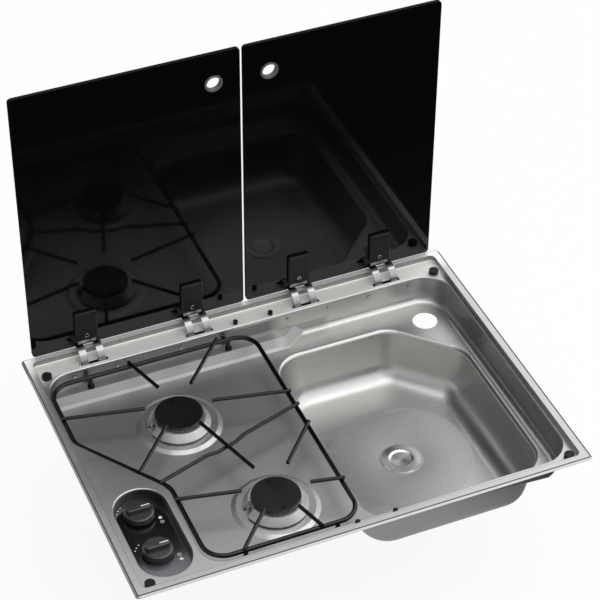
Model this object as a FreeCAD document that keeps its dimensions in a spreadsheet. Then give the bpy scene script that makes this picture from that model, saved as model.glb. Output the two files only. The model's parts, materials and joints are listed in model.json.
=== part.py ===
"""Parametric model of a drop-in hob and sink unit with two hinged glass lids.

Millimetres, +Z up. The origin is the centre of the worktop cut-out, on the worktop's surface.
Seen from the user's side the front is -Y, the hob is on the left and the bowl on the right.
"""
import FreeCAD
import Part
import math
import os
import re

import Sketcher

SIZES = {
    # Pressed steel top: rim, lid recess and ledge
    "sheet": 0.8,
    "rim_length": 600.0,
    "rim_depth": 445.0,
    "rim_rise": 3.0,
    "rim_corner": 5.0,
    "recess_length": 576.0,
    "recess_depth": 423.0,
    "recess_corner": 7.0,
    "ledge_drop": 8.0,
    "ledge_round": 1.5,
    # Well, shared by the hob and the tap shelf
    "well_half": 284.0,
    "well_back": 184.5,
    "well_front": 201.0,
    "well_corner": 38.0,
    "well_draft": 6.0,
    "well_drop": 46.0,
    "well_cove": 8.0,
    # Slope under the front wall, level below the hob and sinking away beside the bowl
    "slope_top": 22.0,
    "slope_foot": 179.0,
    "slope_end": 60.0,
    "slope_last_top": 37.0,
    "slope_last_foot": 194.0,
    "platform_edge": 203.0,
    "platform_corner": 30.0,
    "platform_bend": 58.0,
    "platform_end": 58.0,
    "platform_round": 22.0,
    # Raised step along the back of the hob
    "step_front": 158.0,
    "step_height": 14.0,
    "step_end": 52.0,
    "step_taper": 50.0,
    "step_slope": 35.0,
    # Bowl
    "bowl_left": 18.5,
    "bowl_right": 264.5,
    "bowl_back": 141.0,
    "bowl_front": 173.5,
    "bowl_chamfer": 76.0,
    "bowl_corner": 40.0,
    "bowl_draft": 8.0,
    "bowl_drop": 120.0,
    "bowl_round": 26.0,
    "bowl_edge": 5.5,
    "dish_radius": 95.0,
    "dish_seat": 29.0,
    "dish_fall": 4.0,
    # Waste
    "waste_x": 136.0,
    "waste_y": 21.0,
    "waste_hole": 21.0,
    "flange_radius": 26.5,
    "flange_lip": 1.4,
    "flange_tube": 20.4,
    "flange_bore": 18.5,
    "flange_seat": 16.0,
    "flange_length": 22.0,
    "plug_depth": 3.0,
    "plug_clearance": 0.4,
    "plug_dish": 1.6,
    "plug_stem": 4.0,
    "plug_stem_length": 14.0,
    "waste_body_bore": 22.0,
    "waste_wall": 5.0,
    "tail_radius": 12.5,
    "tail_bore": 10.5,
    "tail_length": 34.0,
    # Tap hole
    "tap_x": 243.0,
    "tap_y": 138.5,
    "tap_radius": 17.0,
    # Rubber parts
    "seal_width": 2.4,
    "seal_inset": 3.4,
    "seal_corner": 1.2,
    "buffer_x": 276.5,
    "buffer_back": 185.0,
    "buffer_front": 203.0,
    "corner_buffer": 6.5,
    "centre_buffer": 3.2,
    "centre_buffer_back": 191.0,
    "centre_buffer_front": 206.2,
    "buffer_pitch": 50.0,
    "buffer_gap": 0.2,
    # Knob recess, panel and knobs
    "panel_x": 244.0,
    "panel_width": 67.0,
    "panel_back": 48.5,
    "panel_front": 197.5,
    "panel_corner": 33.0,
    "panel_recess": 16.5,
    "panel_thick": 2.0,
    "panel_clearance": 0.4,
    "knob_x": 246.5,
    "knob_back": 80.5,
    "knob_front": 146.5,
    "knob_radius": 19.2,
    "knob_skirt": 8.0,
    "knob_grip": 6.0,
    "knob_grip_width": 9.0,
    "knob_lift": 3.8,
    "knob_wall": 2.5,
    "pointer_width": 1.4,
    "pointer_length": 11.0,
    "pointer_depth": 0.6,
    "pointer_rise": 0.2,
    "spindle_radius": 3.0,
    "running_fit": 0.08,
    "tap_body": 24.0,
    "tap_body_height": 26.0,
    "tap_neck": 7.0,
    "tap_wall": 4.0,
    "plug_radius": 6.0,
    "plug_float": 0.3,
    "push_room": 4.0,
    # Gas pipework
    "rail_width": 14.0,
    "rail_height": 12.0,
    "rail_over": 14.0,
    "inlet_radius": 4.0,
    "inlet_length": 90.0,
    "pipe_wall": 1.0,
    "feed_radius": 3.0,
    "feed_bend": 7.0,
    # Burners
    "burner_rear_x": 136.5,
    "burner_rear_y": 75.5,
    "burner_front_x": 78.0,
    "burner_front_y": 107.5,
    "emboss_radius": 56.0,
    "emboss_top": 50.0,
    "emboss_height": 2.5,
    "cup_flange": 37.0,
    "cup_flange_thick": 2.5,
    "cup_body": 25.5,
    "cup_depth": 9.0,
    "cup_throat": 12.0,
    "cup_taper": 5.0,
    "cup_wall": 3.0,
    "cup_clearance": 0.5,
    "ring_base": 41.0,
    "ring_edge": 1.5,
    "ring_shoulder": 34.5,
    "ring_neck": 28.5,
    "ring_height": 12.5,
    "ring_bore": 20.0,
    "port_count": 30,
    "port_width": 1.6,
    "port_depth": 2.0,
    "notch_radius": 31.5,
    "notch_width": 15.0,
    "cap_radius": 31.5,
    "cap_thick": 4.5,
    "cap_round": 1.2,
    "cap_screw_pitch": 24.0,
    "cap_screw": 2.0,
    "injector_radius": 5.0,
    "injector_length": 7.0,
    "injector_seat": 3.5,
    "injector_nozzle": 2.5,
    "post_radius": 36.0,
    "post_pitch": 7.0,
    "post_size": 1.6,
    "post_top": 3.0,
    "post_below": 16.0,
    "post_clearance": 0.3,
    # Wire pan support
    "frame_wire": 3.0,
    "finger_wire": 2.5,
    "weld_sink": 0.4,
    "finger_drop": 10.5,
    "finger_reach": 43.0,
    "frame_right": 2.5,
    "frame_back": 173.0,
    "frame_front": 187.5,
    "frame_left": 279.5,
    "frame_inner": 196.0,
    "frame_bend": 55.0,
    "frame_end": 62.0,
    "frame_corner": 28.0,
    "finger_over": 3.5,
    "bar_turn": 89.6,
    "bar_flat": 30.0,
    "bar_slope": 14.0,
    "bar_bend": 12.0,
    "foot_back_left": 222.0,
    "foot_back_right": 30.0,
    "foot_front_left": 150.0,
    "foot_front_right": 30.0,
    "foot_radius": 4.5,
    "foot_height": 3.5,
    "foot_socket": 2.0,
    # Glass lids
    "glass": 5.0,
    "lid_height": 406.0,
    "lid_face": 219.2,
    "lid_above_rim": 1.2,
    "lid_outer": 284.0,
    "lid_split": 12.5,
    "lid_gap": 4.0,
    "lid_corner": 5.0,
    "finger_hole": 10.8,
    "finger_hole_drop": 44.0,
    "finger_hole_side": 37.0,
    "finger_ring": 12.0,
    "finger_ring_bore": 9.3,
    "finger_ring_lip": 1.0,
    # Lid hinges
    "left_hinge_mid": 137.0,
    "left_hinge_half": 73.5,
    "right_hinge_mid": 149.0,
    "right_hinge_half": 59.5,
    "hinge_y": 210.0,
    "hinge_drop": 9.0,
    "arm_radius": 18.5,
    "arm_thick": 2.0,
    "arm_width": 9.5,
    "arm_half": 16.5,
    "arm_eye": 2.9,
    "pin_radius": 1.5,
    "leaf_half": 12.5,
    "leaf_top": 56.0,
    "pad_half": 15.0,
    "pad_bottom": 14.2,
    "pad_top": 60.5,
    "pad_thick": 4.6,
    "pad_round": 2.0,
    "pad_chamfer": 1.2,
    "pad_clearance": 0.2,
    "back_thick": 2.5,
    "hinge_screw": 2.0,
    "hinge_screw_head": 3.2,
    "hinge_screw_head_thick": 1.8,
    "hinge_screw_sink": 1.6,
    "hinge_screw_height": 22.0,
    "hole_clearance": 0.15,
    "slot_half": 20.0,
    "slot_width": 5.4,
    "slot_front": 189.7,
    "ear_inner": 18.5,
    "ear_thick": 1.5,
    "pin_over": 1.0,
    "bracket_half": 36.0,
    "bracket_thick": 1.4,
    "bracket_gap": 0.3,
    "bracket_height": 32.0,
    "rivet_half": 29.5,
    "rivet_drop": 15.0,
    "rivet_radius": 1.6,
    "rivet_head": 2.6,
    "rivet_head_thick": 1.0,
}

V = FreeCAD.Vector
WORD = re.compile(r"[a-z]\w*")
TURN_TO_X = FreeCAD.Rotation(V(0, 1, 0), V(0, 0, 1), V(1, 0, 0), "ZXY")
TURN_TO_Y = FreeCAD.Rotation(V(1, 0, 0), -90)

doc = FreeCAD.newDocument("hob_and_sink")
sheet = doc.addObject("Spreadsheet::Sheet", "sizes")
for row, (alias, amount) in enumerate(SIZES.items(), start=1):
    sheet.set(f"A{row}", alias)
    sheet.set(f"B{row}", str(amount))
    sheet.setAlias(f"B{row}", alias)
doc.recompute()

nodes = []


def linked(text):
    """Point every size name in an expression at its spreadsheet cell."""
    return WORD.sub(lambda found: "sizes." + found[0] if found[0] in SIZES else found[0], text)


def number(text):
    """Work out an expression from the spreadsheet's present values."""
    result = sheet.evalExpression(linked(text))
    return float(getattr(result, "Value", result))


def bind(thing, **expressions):
    """Tie properties of a document object to expressions of sizes."""
    for name, text in expressions.items():
        thing.setExpression(name, linked(text))
    return thing


def place(thing, x="0", y="0", z="0"):
    """Tie the position of a document object to expressions of sizes."""
    for axis, text in zip("xyz", (x, y, z)):
        thing.setExpression(f"Placement.Base.{axis}", linked(text))
    return thing


def node(thing, label):
    """Name a finished sub-part, which is written to a file of that name."""
    thing.Label = label
    nodes.append(thing)
    return thing


def box(name, size, corner):
    """A block of bound size with its lowest corner at a bound place."""
    block = doc.addObject("Part::Box", name)
    bind(block, Length=size[0], Width=size[1], Height=size[2])
    return place(block, *corner)


def cylinder(name, radius, height, base, turn=None, angle=None):
    """A round bar, standing along Z unless it is turned, whole or as a sector."""
    bar = doc.addObject("Part::Cylinder", name)
    bind(bar, Radius=radius, Height=height)
    if turn is not None:
        bar.Placement.Rotation = turn
    if angle is not None:
        bar.Angle = angle
    return place(bar, *base)


def cone(name, radius_low, radius_high, height, base):
    """A truncated cone standing along Z."""
    frustum = doc.addObject("Part::Cone", name)
    bind(frustum, Radius1=radius_low, Radius2=radius_high, Height=height)
    return place(frustum, *base)


def fuse(name, shapes):
    """Join solids into one."""
    joined = doc.addObject("Part::MultiFuse", name)
    joined.Shapes = shapes
    joined.Refine = True
    return joined


def cut(name, base, tools):
    """Take tools away from a base solid."""
    tool = tools[0] if len(tools) == 1 else fuse(name + "_tools", tools)
    rest = doc.addObject("Part::Cut", name)
    rest.Base = base
    rest.Tool = tool
    return rest


def group(name, shapes):
    """Keep separate solids together in one sub-part."""
    together = doc.addObject("Part::Compound", name)
    together.Links = shapes
    return together


def new_body(name):
    """An empty body for sketched features."""
    return doc.addObject("PartDesign::Body", name)


def outline(body, plane, points, offset="0"):
    """Sketch a closed outline with every corner held by its two bound coordinates."""
    drawing = body.newObject("Sketcher::SketchObject", body.Name + "_outline")
    origin_plane = next(part for part in body.Origin.OriginFeatures if part.Role == plane)
    drawing.AttachmentSupport = (origin_plane, "")
    drawing.MapMode = "FlatFace"
    drawing.setExpression("AttachmentOffset.Base.z", linked(offset))
    corners = [V(number(x), number(y), 0) for x, y in points]
    count = len(corners)
    for index, corner in enumerate(corners):
        drawing.addGeometry(Part.LineSegment(corner, corners[(index + 1) % count]), False)
    for index in range(count):
        drawing.addConstraint(Sketcher.Constraint("Coincident", index, 2, (index + 1) % count, 1))
    for index, (point, corner) in enumerate(zip(points, corners)):
        for kind, axis, text, start in (
            ("DistanceX", -2, point[0], corner.x),
            ("DistanceY", -1, point[1], corner.y),
        ):
            if text == "0":
                drawing.addConstraint(Sketcher.Constraint("PointOnObject", index, 1, axis))
                continue
            held = drawing.addConstraint(Sketcher.Constraint(kind, -1, 1, index, 1, start))
            drawing.setExpression(f"Constraints[{held}]", linked(text))
    return drawing


def pad(body, drawing, length, draft=None, reverse=False):
    """Raise a sketch into a solid, drafted inwards where a draft is given."""
    feature = body.newObject("PartDesign::Pad", body.Name + "_pad")
    feature.Profile = drawing
    feature.Reversed = reverse
    bind(feature, Length=length)
    if draft:
        bind(feature, TaperAngle="-" + draft)
    doc.recompute()
    return feature


def pocket(body, drawing, length, draft=None, reverse=False):
    """Sink a sketch into the solid and make sure that it removed material."""
    before = body.Tip.Shape.Volume
    feature = body.newObject("PartDesign::Pocket", body.Name + "_pocket")
    feature.Profile = drawing
    feature.Reversed = reverse
    bind(feature, Length=length)
    if draft:
        bind(feature, TaperAngle="-" + draft)
    doc.recompute()
    if not feature.Shape.Volume < before:
        raise RuntimeError(f"{feature.Name} removes nothing")
    return feature


def rounded(body, edges, radius, kind="PartDesign::Fillet", size="Radius"):
    """Round or chamfer the edges of the body's last feature that a test picks."""
    last = body.Tip
    picked = [f"Edge{i}" for i, edge in enumerate(last.Shape.Edges, start=1) if edges(edge)]
    if not picked:
        raise RuntimeError(f"no edge to round on {body.Name}")
    feature = body.newObject(kind, body.Name + "_round")
    feature.Base = (last, picked)
    bind(feature, **{size: radius})
    doc.recompute()
    return feature


def ends(edge):
    """The two end points of an edge."""
    return edge.Vertexes[0].Point, edge.Vertexes[-1].Point


def upright_at(points, reach=1.0):
    """A test for corner edges that start near one of some plan points."""
    spots = [V(number(x), number(y), 0) for x, y in points]

    def test(edge):
        first, last = ends(edge)
        if abs(first.z - last.z) < 1.0:
            return False
        high = first if first.z > last.z else last
        return any((V(high.x, high.y, 0) - spot).Length < reach for spot in spots)

    return test


def level(height, inside=None, about=("0", "0")):
    """A test for edges lying at a height, and within a half length and half depth if given."""
    where = number(height)
    limits = [number(text) for text in inside] if inside else None
    middle_x, middle_y = (number(text) for text in about)

    def test(edge):
        if any(abs(point.z - where) > 0.01 for point in ends(edge)):
            return False
        middle = edge.valueAt((edge.FirstParameter + edge.LastParameter) / 2)
        if abs(middle.z - where) > 0.01:
            return False
        if limits is None:
            return True
        return abs(middle.x - middle_x) < limits[0] and abs(middle.y - middle_y) < limits[1]

    return test


def turned(name, points, x="0", y="0", z="0", turn=None):
    """A turned piece: a half section of (radius, height) points spun about its axis."""
    body = new_body(name)
    drawing = outline(body, "XZ_Plane", points)
    spin = body.newObject("PartDesign::Revolution", name + "_spin")
    spin.Profile = drawing
    spin.ReferenceAxis = (drawing, ["V_Axis"])
    spin.Angle = 360
    if turn is not None:
        body.Placement.Rotation = turn
    return place(body, x, y, z)


def rectangle(half_length, half_depth):
    """Corners of a rectangle about the origin."""
    right, left = half_length, f"-({half_length})"
    back, front = half_depth, f"-({half_depth})"
    return [(right, back), (left, back), (left, front), (right, front)]


# Heights that several pieces share
RIM_TOP = "rim_rise"
LEDGE = "rim_rise - ledge_drop"
FLOOR = "rim_rise - well_drop"
BOWL_BOTTOM = "rim_rise - bowl_drop"
PANEL_SEAT = "rim_rise - ledge_drop - panel_recess"
PANEL_TOP = PANEL_SEAT + " + panel_thick"
PLATEAU = FLOOR + " + emboss_height"
HINGE_Z = "-hinge_drop"
WASTE_SEAT = BOWL_BOTTOM + " - dish_fall"
BURNERS = {
    "rear": ("-burner_rear_x", "burner_rear_y"),
    "front": ("-burner_front_x", "-burner_front_y"),
}
KNOBS = {"rear": ("-knob_x", "-knob_back"), "front": ("-knob_x", "-knob_front")}
HINGES = {
    "left_outer": ("left", "-left_hinge_mid - left_hinge_half"),
    "left_inner": ("left", "-left_hinge_mid + left_hinge_half"),
    "right_inner": ("right", "right_hinge_mid - right_hinge_half"),
    "right_outer": ("right", "right_hinge_mid + right_hinge_half"),
}


def front_slope(high, foot, grow):
    """Corners of the wedge below the front slope, as depth and height, past the well's own faces."""
    run = f"(well_front - {foot}) / (well_drop - {high})"
    wall = f"-well_front - well_cove - {grow}"
    low = f"{FLOOR} - well_cove - {grow}"
    wall_z = f"rim_rise - {high} + (well_cove + {grow}) / ({run}) - {grow} * 1.4"
    foot_y = f"-{foot} + well_cove * ({run}) - {grow} * 0.4"
    return [(wall, wall_z), (foot_y, low), (wall, low)]


def pressing(name, grow, top):
    """One skin of the pressed top: the lid recess, well, bowl and knob recess as a solid.

    The inner skin has no growth; the outer one is grown by the sheet's thickness.
    """
    body = new_body(name)
    recess = rectangle(f"recess_length / 2 + {grow}", f"recess_depth / 2 + {grow}")
    pad(body, outline(body, "XY_Plane", recess, top), f"{top} - ({LEDGE}) + {grow}", reverse=True)
    rounded(body, upright_at(recess), f"recess_corner + {grow}")

    platform_x = f"-platform_edge - {grow}"
    well = [
        (f"well_half + {grow}", f"well_back + {grow}"),
        (f"-well_half - {grow}", f"well_back + {grow}"),
        (f"-well_half - {grow}", f"platform_end - {grow} * 0.3"),
        (platform_x, f"-platform_bend - {grow} * 0.3"),
        (platform_x, f"-well_front - {grow}"),
        (f"well_half + {grow}", f"-well_front - {grow}"),
    ]
    under_ledge = f"{LEDGE} - {grow}"
    pad(body, outline(body, "XY_Plane", well, under_ledge), "well_drop - ledge_drop", "well_draft", True)
    rounded(body, upright_at([well[0], well[1], well[5]]), f"well_corner + {grow}")
    rounded(body, upright_at([well[4]]), f"platform_corner + {grow}")
    rounded(body, upright_at([well[2]]), f"platform_round + {grow}")
    rounded(body, upright_at([well[3]]), f"platform_round - {grow}")
    under_floor = f"{FLOOR} - {grow}"
    rounded(body, level(under_floor), f"well_cove + {grow}")
    wedges = [
        outline(body, "YZ_Plane", front_slope(high, foot, grow), x)
        for x, high, foot in (
            ("-well_half", "slope_top", "slope_foot"),
            ("slope_end", "slope_top", "slope_foot"),
            ("well_half + well_cove", "slope_last_top", "slope_last_foot"),
        )
    ]
    slope = body.newObject("PartDesign::SubtractiveLoft", name + "_slope")
    slope.Profile = wedges[0]
    slope.Sections = wedges[1:]
    slope.Ruled = True
    doc.recompute()

    bowl = [
        (f"bowl_right + {grow}", f"bowl_back - bowl_chamfer + {grow} * 0.41"),
        (f"bowl_right - bowl_chamfer + {grow} * 0.41", f"bowl_back + {grow}"),
        (f"bowl_left - {grow}", f"bowl_back + {grow}"),
        (f"bowl_left - {grow}", f"-bowl_front - {grow}"),
        (f"bowl_right + {grow}", f"-bowl_front - {grow}"),
    ]
    pad(body, outline(body, "XY_Plane", bowl, under_floor), "bowl_drop - well_drop", "bowl_draft", True)
    rounded(body, upright_at(bowl), f"bowl_corner + {grow}")
    rounded(body, level(f"{BOWL_BOTTOM} - {grow}"), f"bowl_round + {grow}")
    inside_well = ("well_half - well_cove - 5", "well_back - well_cove - 5")
    rounded(body, level(under_floor, inside_well), f"bowl_edge - {grow}")

    inside_recess = ("recess_length / 2 - 2", "recess_depth / 2 - 2.5")
    rounded(body, level(under_ledge, inside_recess), f"ledge_round - {grow}")

    step = [
        ("-well_half - ledge_drop", "recess_depth / 2"),
        ("-well_half - ledge_drop", f"step_front + {grow} * 0.4"),
        ("step_end", f"step_front + {grow} * 0.4"),
        ("step_end + step_taper", f"well_back + ledge_drop + {grow} * 0.4"),
        ("step_end + step_taper", "recess_depth / 2"),
    ]
    pocket(body, outline(body, "XY_Plane", step, under_floor), "step_height", "step_slope", True)
    return body


def panel_outline(grow):
    """Corners of the knob recess."""
    right, left = f"-panel_x + panel_width / 2 + {grow}", f"-panel_x - panel_width / 2 - ({grow})"
    back, front = f"-panel_back + {grow}", f"-panel_front - ({grow})"
    return [(right, back), (left, back), (left, front), (right, front)]


def knob_recess(name, grow):
    """One skin of the knob recess, with the rounded edge that joins it to the ledge."""
    body = new_body(name)
    under_ledge = f"{LEDGE} - {grow}"
    pad(body, outline(body, "XY_Plane", panel_outline("ledge_round * 2"), under_ledge), "ledge_round")
    corners = panel_outline(grow)
    pad(body, outline(body, "XY_Plane", corners, under_ledge), "panel_recess", None, True)
    rounded(body, upright_at(corners), f"panel_corner + {grow}")
    edge = ("panel_width / 2 + ledge_round", "(panel_front - panel_back) / 2 + ledge_round")
    middle = ("-panel_x", "-(panel_front + panel_back) / 2")
    rounded(body, level(under_ledge, edge, middle), f"ledge_round - {grow}")
    return body


def embossed(name, skin, grow):
    """Take the raised burner plateaus out of a skin and give the bowl floor its fall."""
    plateaus = []
    for burner, (x, y) in BURNERS.items():
        low = f"{FLOOR} - {grow} - 1"
        slope = "(emboss_radius - emboss_top) / emboss_height"
        base = f"emboss_radius + {slope} - {grow} / 2"
        plateaus.append(
            cone(f"{name}_{burner}", base, f"emboss_top - {grow} / 2", "emboss_height + 1", (x, y, low))
        )
    raised = cut(name + "_raised", skin, plateaus)
    fall = cone(
        name + "_fall",
        "dish_seat",
        f"dish_radius + {grow}",
        "dish_fall",
        ("waste_x", "-waste_y", f"{WASTE_SEAT} - {grow}"),
    )
    return fuse(name + "_skin", [raised, fall, knob_recess(name + "_recess", grow)])


def rim():
    """The rim: a flat border with a bevelled lip, hollow below for the seal."""
    body = new_body("rim_border")
    corners = rectangle("rim_length / 2", "rim_depth / 2")
    pad(body, outline(body, "XY_Plane", corners), RIM_TOP)
    rounded(body, upright_at(corners), "rim_corner")
    rounded(body, level(RIM_TOP), "rim_rise - 0.2", "PartDesign::Chamfer", "Size")
    hollow = rectangle("rim_length / 2 - sheet * 1.5", "rim_depth / 2 - sheet * 1.5")
    slope = new_body("rim_hollow")
    pad(slope, outline(slope, "XY_Plane", hollow), "rim_rise - sheet")
    rounded(slope, upright_at(hollow), "rim_corner - sheet")
    rounded(slope, level("rim_rise - sheet"), "rim_rise - sheet - 0.2", "PartDesign::Chamfer", "Size")
    return cut("rim_shell", body, [slope])


def steel_top():
    """The deep-drawn top: rim, well and bowl in one sheet, with its holes and hinge slots."""
    outside = embossed("outer", pressing("outer_press", "sheet", f"{RIM_TOP} - sheet / 2"), "sheet")
    inside = embossed("inner", pressing("inner_press", "0", f"{RIM_TOP} + 1"), "0")
    shell = cut("pressed_shell", fuse("pressed_blank", [rim(), outside]), [inside])

    holes = [
        cylinder("tap_hole", "tap_radius", "20", ("tap_x", "tap_y", f"{FLOOR} - 10")),
        cylinder("waste_opening", "waste_hole", "30", ("waste_x", "-waste_y", f"{WASTE_SEAT} - 15")),
    ]
    for burner, (x, y) in BURNERS.items():
        holes.append(
            cylinder(f"{burner}_opening", "cup_body + cup_clearance", "20", (x, y, f"{FLOOR} - 10"))
        )
        for side, sign in (("left", "-"), ("right", "+")):
            spot = (f"{x} - post_radius", f"{y} {sign} post_pitch / 2", f"{FLOOR} - 10")
            holes.append(
                cylinder(f"{burner}_post_{side}", "post_size + post_clearance", "20", spot)
            )
    for knob, (x, y) in KNOBS.items():
        holes.append(
            cylinder(f"{knob}_neck_hole", "tap_neck + cup_clearance", "10", (x, y, f"{PANEL_SEAT} - 5"))
        )
    for hinge, (_, x) in HINGES.items():
        size = ("slot_half * 2", "slot_width", "6")
        holes.append(box(f"{hinge}_slot", size, (f"{x} - slot_half", "slot_front", f"{LEDGE} - 3")))
        for side, sign in (("left", "-"), ("right", "+")):
            spot = (f"{x} {sign} rivet_half", "well_back - 8", "-rivet_drop")
            holes.append(
                cylinder(f"{hinge}_rivet_{side}", "rivet_radius + post_clearance", "16", spot, TURN_TO_Y)
            )
    return node(cut("steel_sheet", shell, holes), "steel_top")


def along_y(edge):
    """A test for edges that run straight through a plate from front to back."""
    first, last = ends(edge)
    return abs(first.y - last.y) > 0.5 and math.hypot(first.x - last.x, first.z - last.z) < 0.01


def plate(name, left, right, low, high, front, thick, corner):
    """An upright plate with rounded corners, its front face at a bound depth."""
    body = new_body(name)
    corners = [(right, high), (left, high), (left, low), (right, low)]
    pad(body, outline(body, "XZ_Plane", corners, f"-({front})"), thick, None, True)
    rounded(body, along_y, corner)
    return body


def front_edges(front):
    """A test for the edges around the front face of a plate."""
    where = number(front)
    return lambda edge: all(abs(point.y - where) < 0.01 for point in ends(edge))


def rim_seal():
    """The seal bead between the rim and the worktop."""
    bodies = []
    for name, inset in (("seal_outer", "seal_inset"), ("seal_inner", "seal_inset + seal_width")):
        body = new_body(name)
        corners = rectangle(f"rim_length / 2 - ({inset})", f"rim_depth / 2 - ({inset})")
        pad(body, outline(body, "XY_Plane", corners), "rim_rise - sheet")
        rounded(body, upright_at(corners), "seal_corner")
        bodies.append(body)
    node(cut("seal_ring", bodies[0], bodies[1:]), "rim_seal")


def buffers():
    """Rubber buffers on the ledge that the closed lids lie on."""
    tall = f"lid_face - hinge_y - hinge_drop - buffer_gap - ({LEDGE})"
    corner = []
    centre = []
    for side, x_sign, split_sign in (("left", "-", "-"), ("right", "", "+")):
        for end, corner_y, centre_y in (
            ("back", "buffer_back", "centre_buffer_back"),
            ("front", "-buffer_front", "-centre_buffer_front"),
        ):
            spot = (f"{x_sign}buffer_x", corner_y, LEDGE)
            corner.append(cylinder(f"corner_buffer_{side}_{end}", "corner_buffer", tall, spot))
            spot = (f"lid_split {split_sign} buffer_pitch / 2", centre_y, LEDGE)
            centre.append(cylinder(f"centre_buffer_{side}_{end}", "centre_buffer", tall, spot))
    node(group("corner_rubbers", corner), "corner_buffers")
    node(group("centre_rubbers", centre), "centre_buffers")


def waste():
    """The waste: flange in the bowl, lift-out plug, and the body with its outlet tail below."""
    at = {"x": "waste_x", "y": "-waste_y"}
    lip = f"{WASTE_SEAT} + flange_lip"
    seat = f"{lip} - plug_depth"
    foot = f"{WASTE_SEAT} - flange_length"
    flange = [
        ("flange_bore", lip),
        ("flange_radius - flange_lip / 2", lip),
        ("flange_radius", f"{lip} - flange_lip / 2"),
        ("flange_radius", WASTE_SEAT),
        ("flange_tube", WASTE_SEAT),
        ("flange_tube", foot),
        ("flange_seat", foot),
        ("flange_seat", seat),
        ("flange_bore", seat),
    ]
    node(turned("flange_turning", flange, **at), "waste_flange")

    edge = "flange_bore - plug_clearance"
    rim_height = f"{lip} - plug_clearance"
    plug = [
        ("0", f"{rim_height} - plug_dish"),
        (f"{edge} - plug_depth * 1.5", f"{rim_height} - plug_dish * 0.75"),
        (f"{edge} - plug_depth / 3", rim_height),
        (edge, rim_height),
        (edge, seat),
        ("plug_stem", seat),
        ("plug_stem", f"{seat} - plug_stem_length"),
        ("0", f"{seat} - plug_stem_length"),
    ]
    node(turned("plug_turning", plug, **at), "sink_plug")

    top = f"{WASTE_SEAT} - sheet"
    hollow = f"{foot} - waste_wall / 2"
    shoulder = f"{hollow} - waste_wall"
    body = [
        ("waste_body_bore", top),
        ("waste_body_bore + waste_wall", top),
        ("waste_body_bore + waste_wall", f"{hollow} + waste_wall"),
        ("tail_radius", shoulder),
        ("tail_radius", f"{shoulder} - tail_length"),
        ("tail_bore", f"{shoulder} - tail_length"),
        ("tail_bore", hollow),
        ("waste_body_bore", hollow),
    ]
    node(turned("waste_turning", body, **at), "waste_body")


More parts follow.
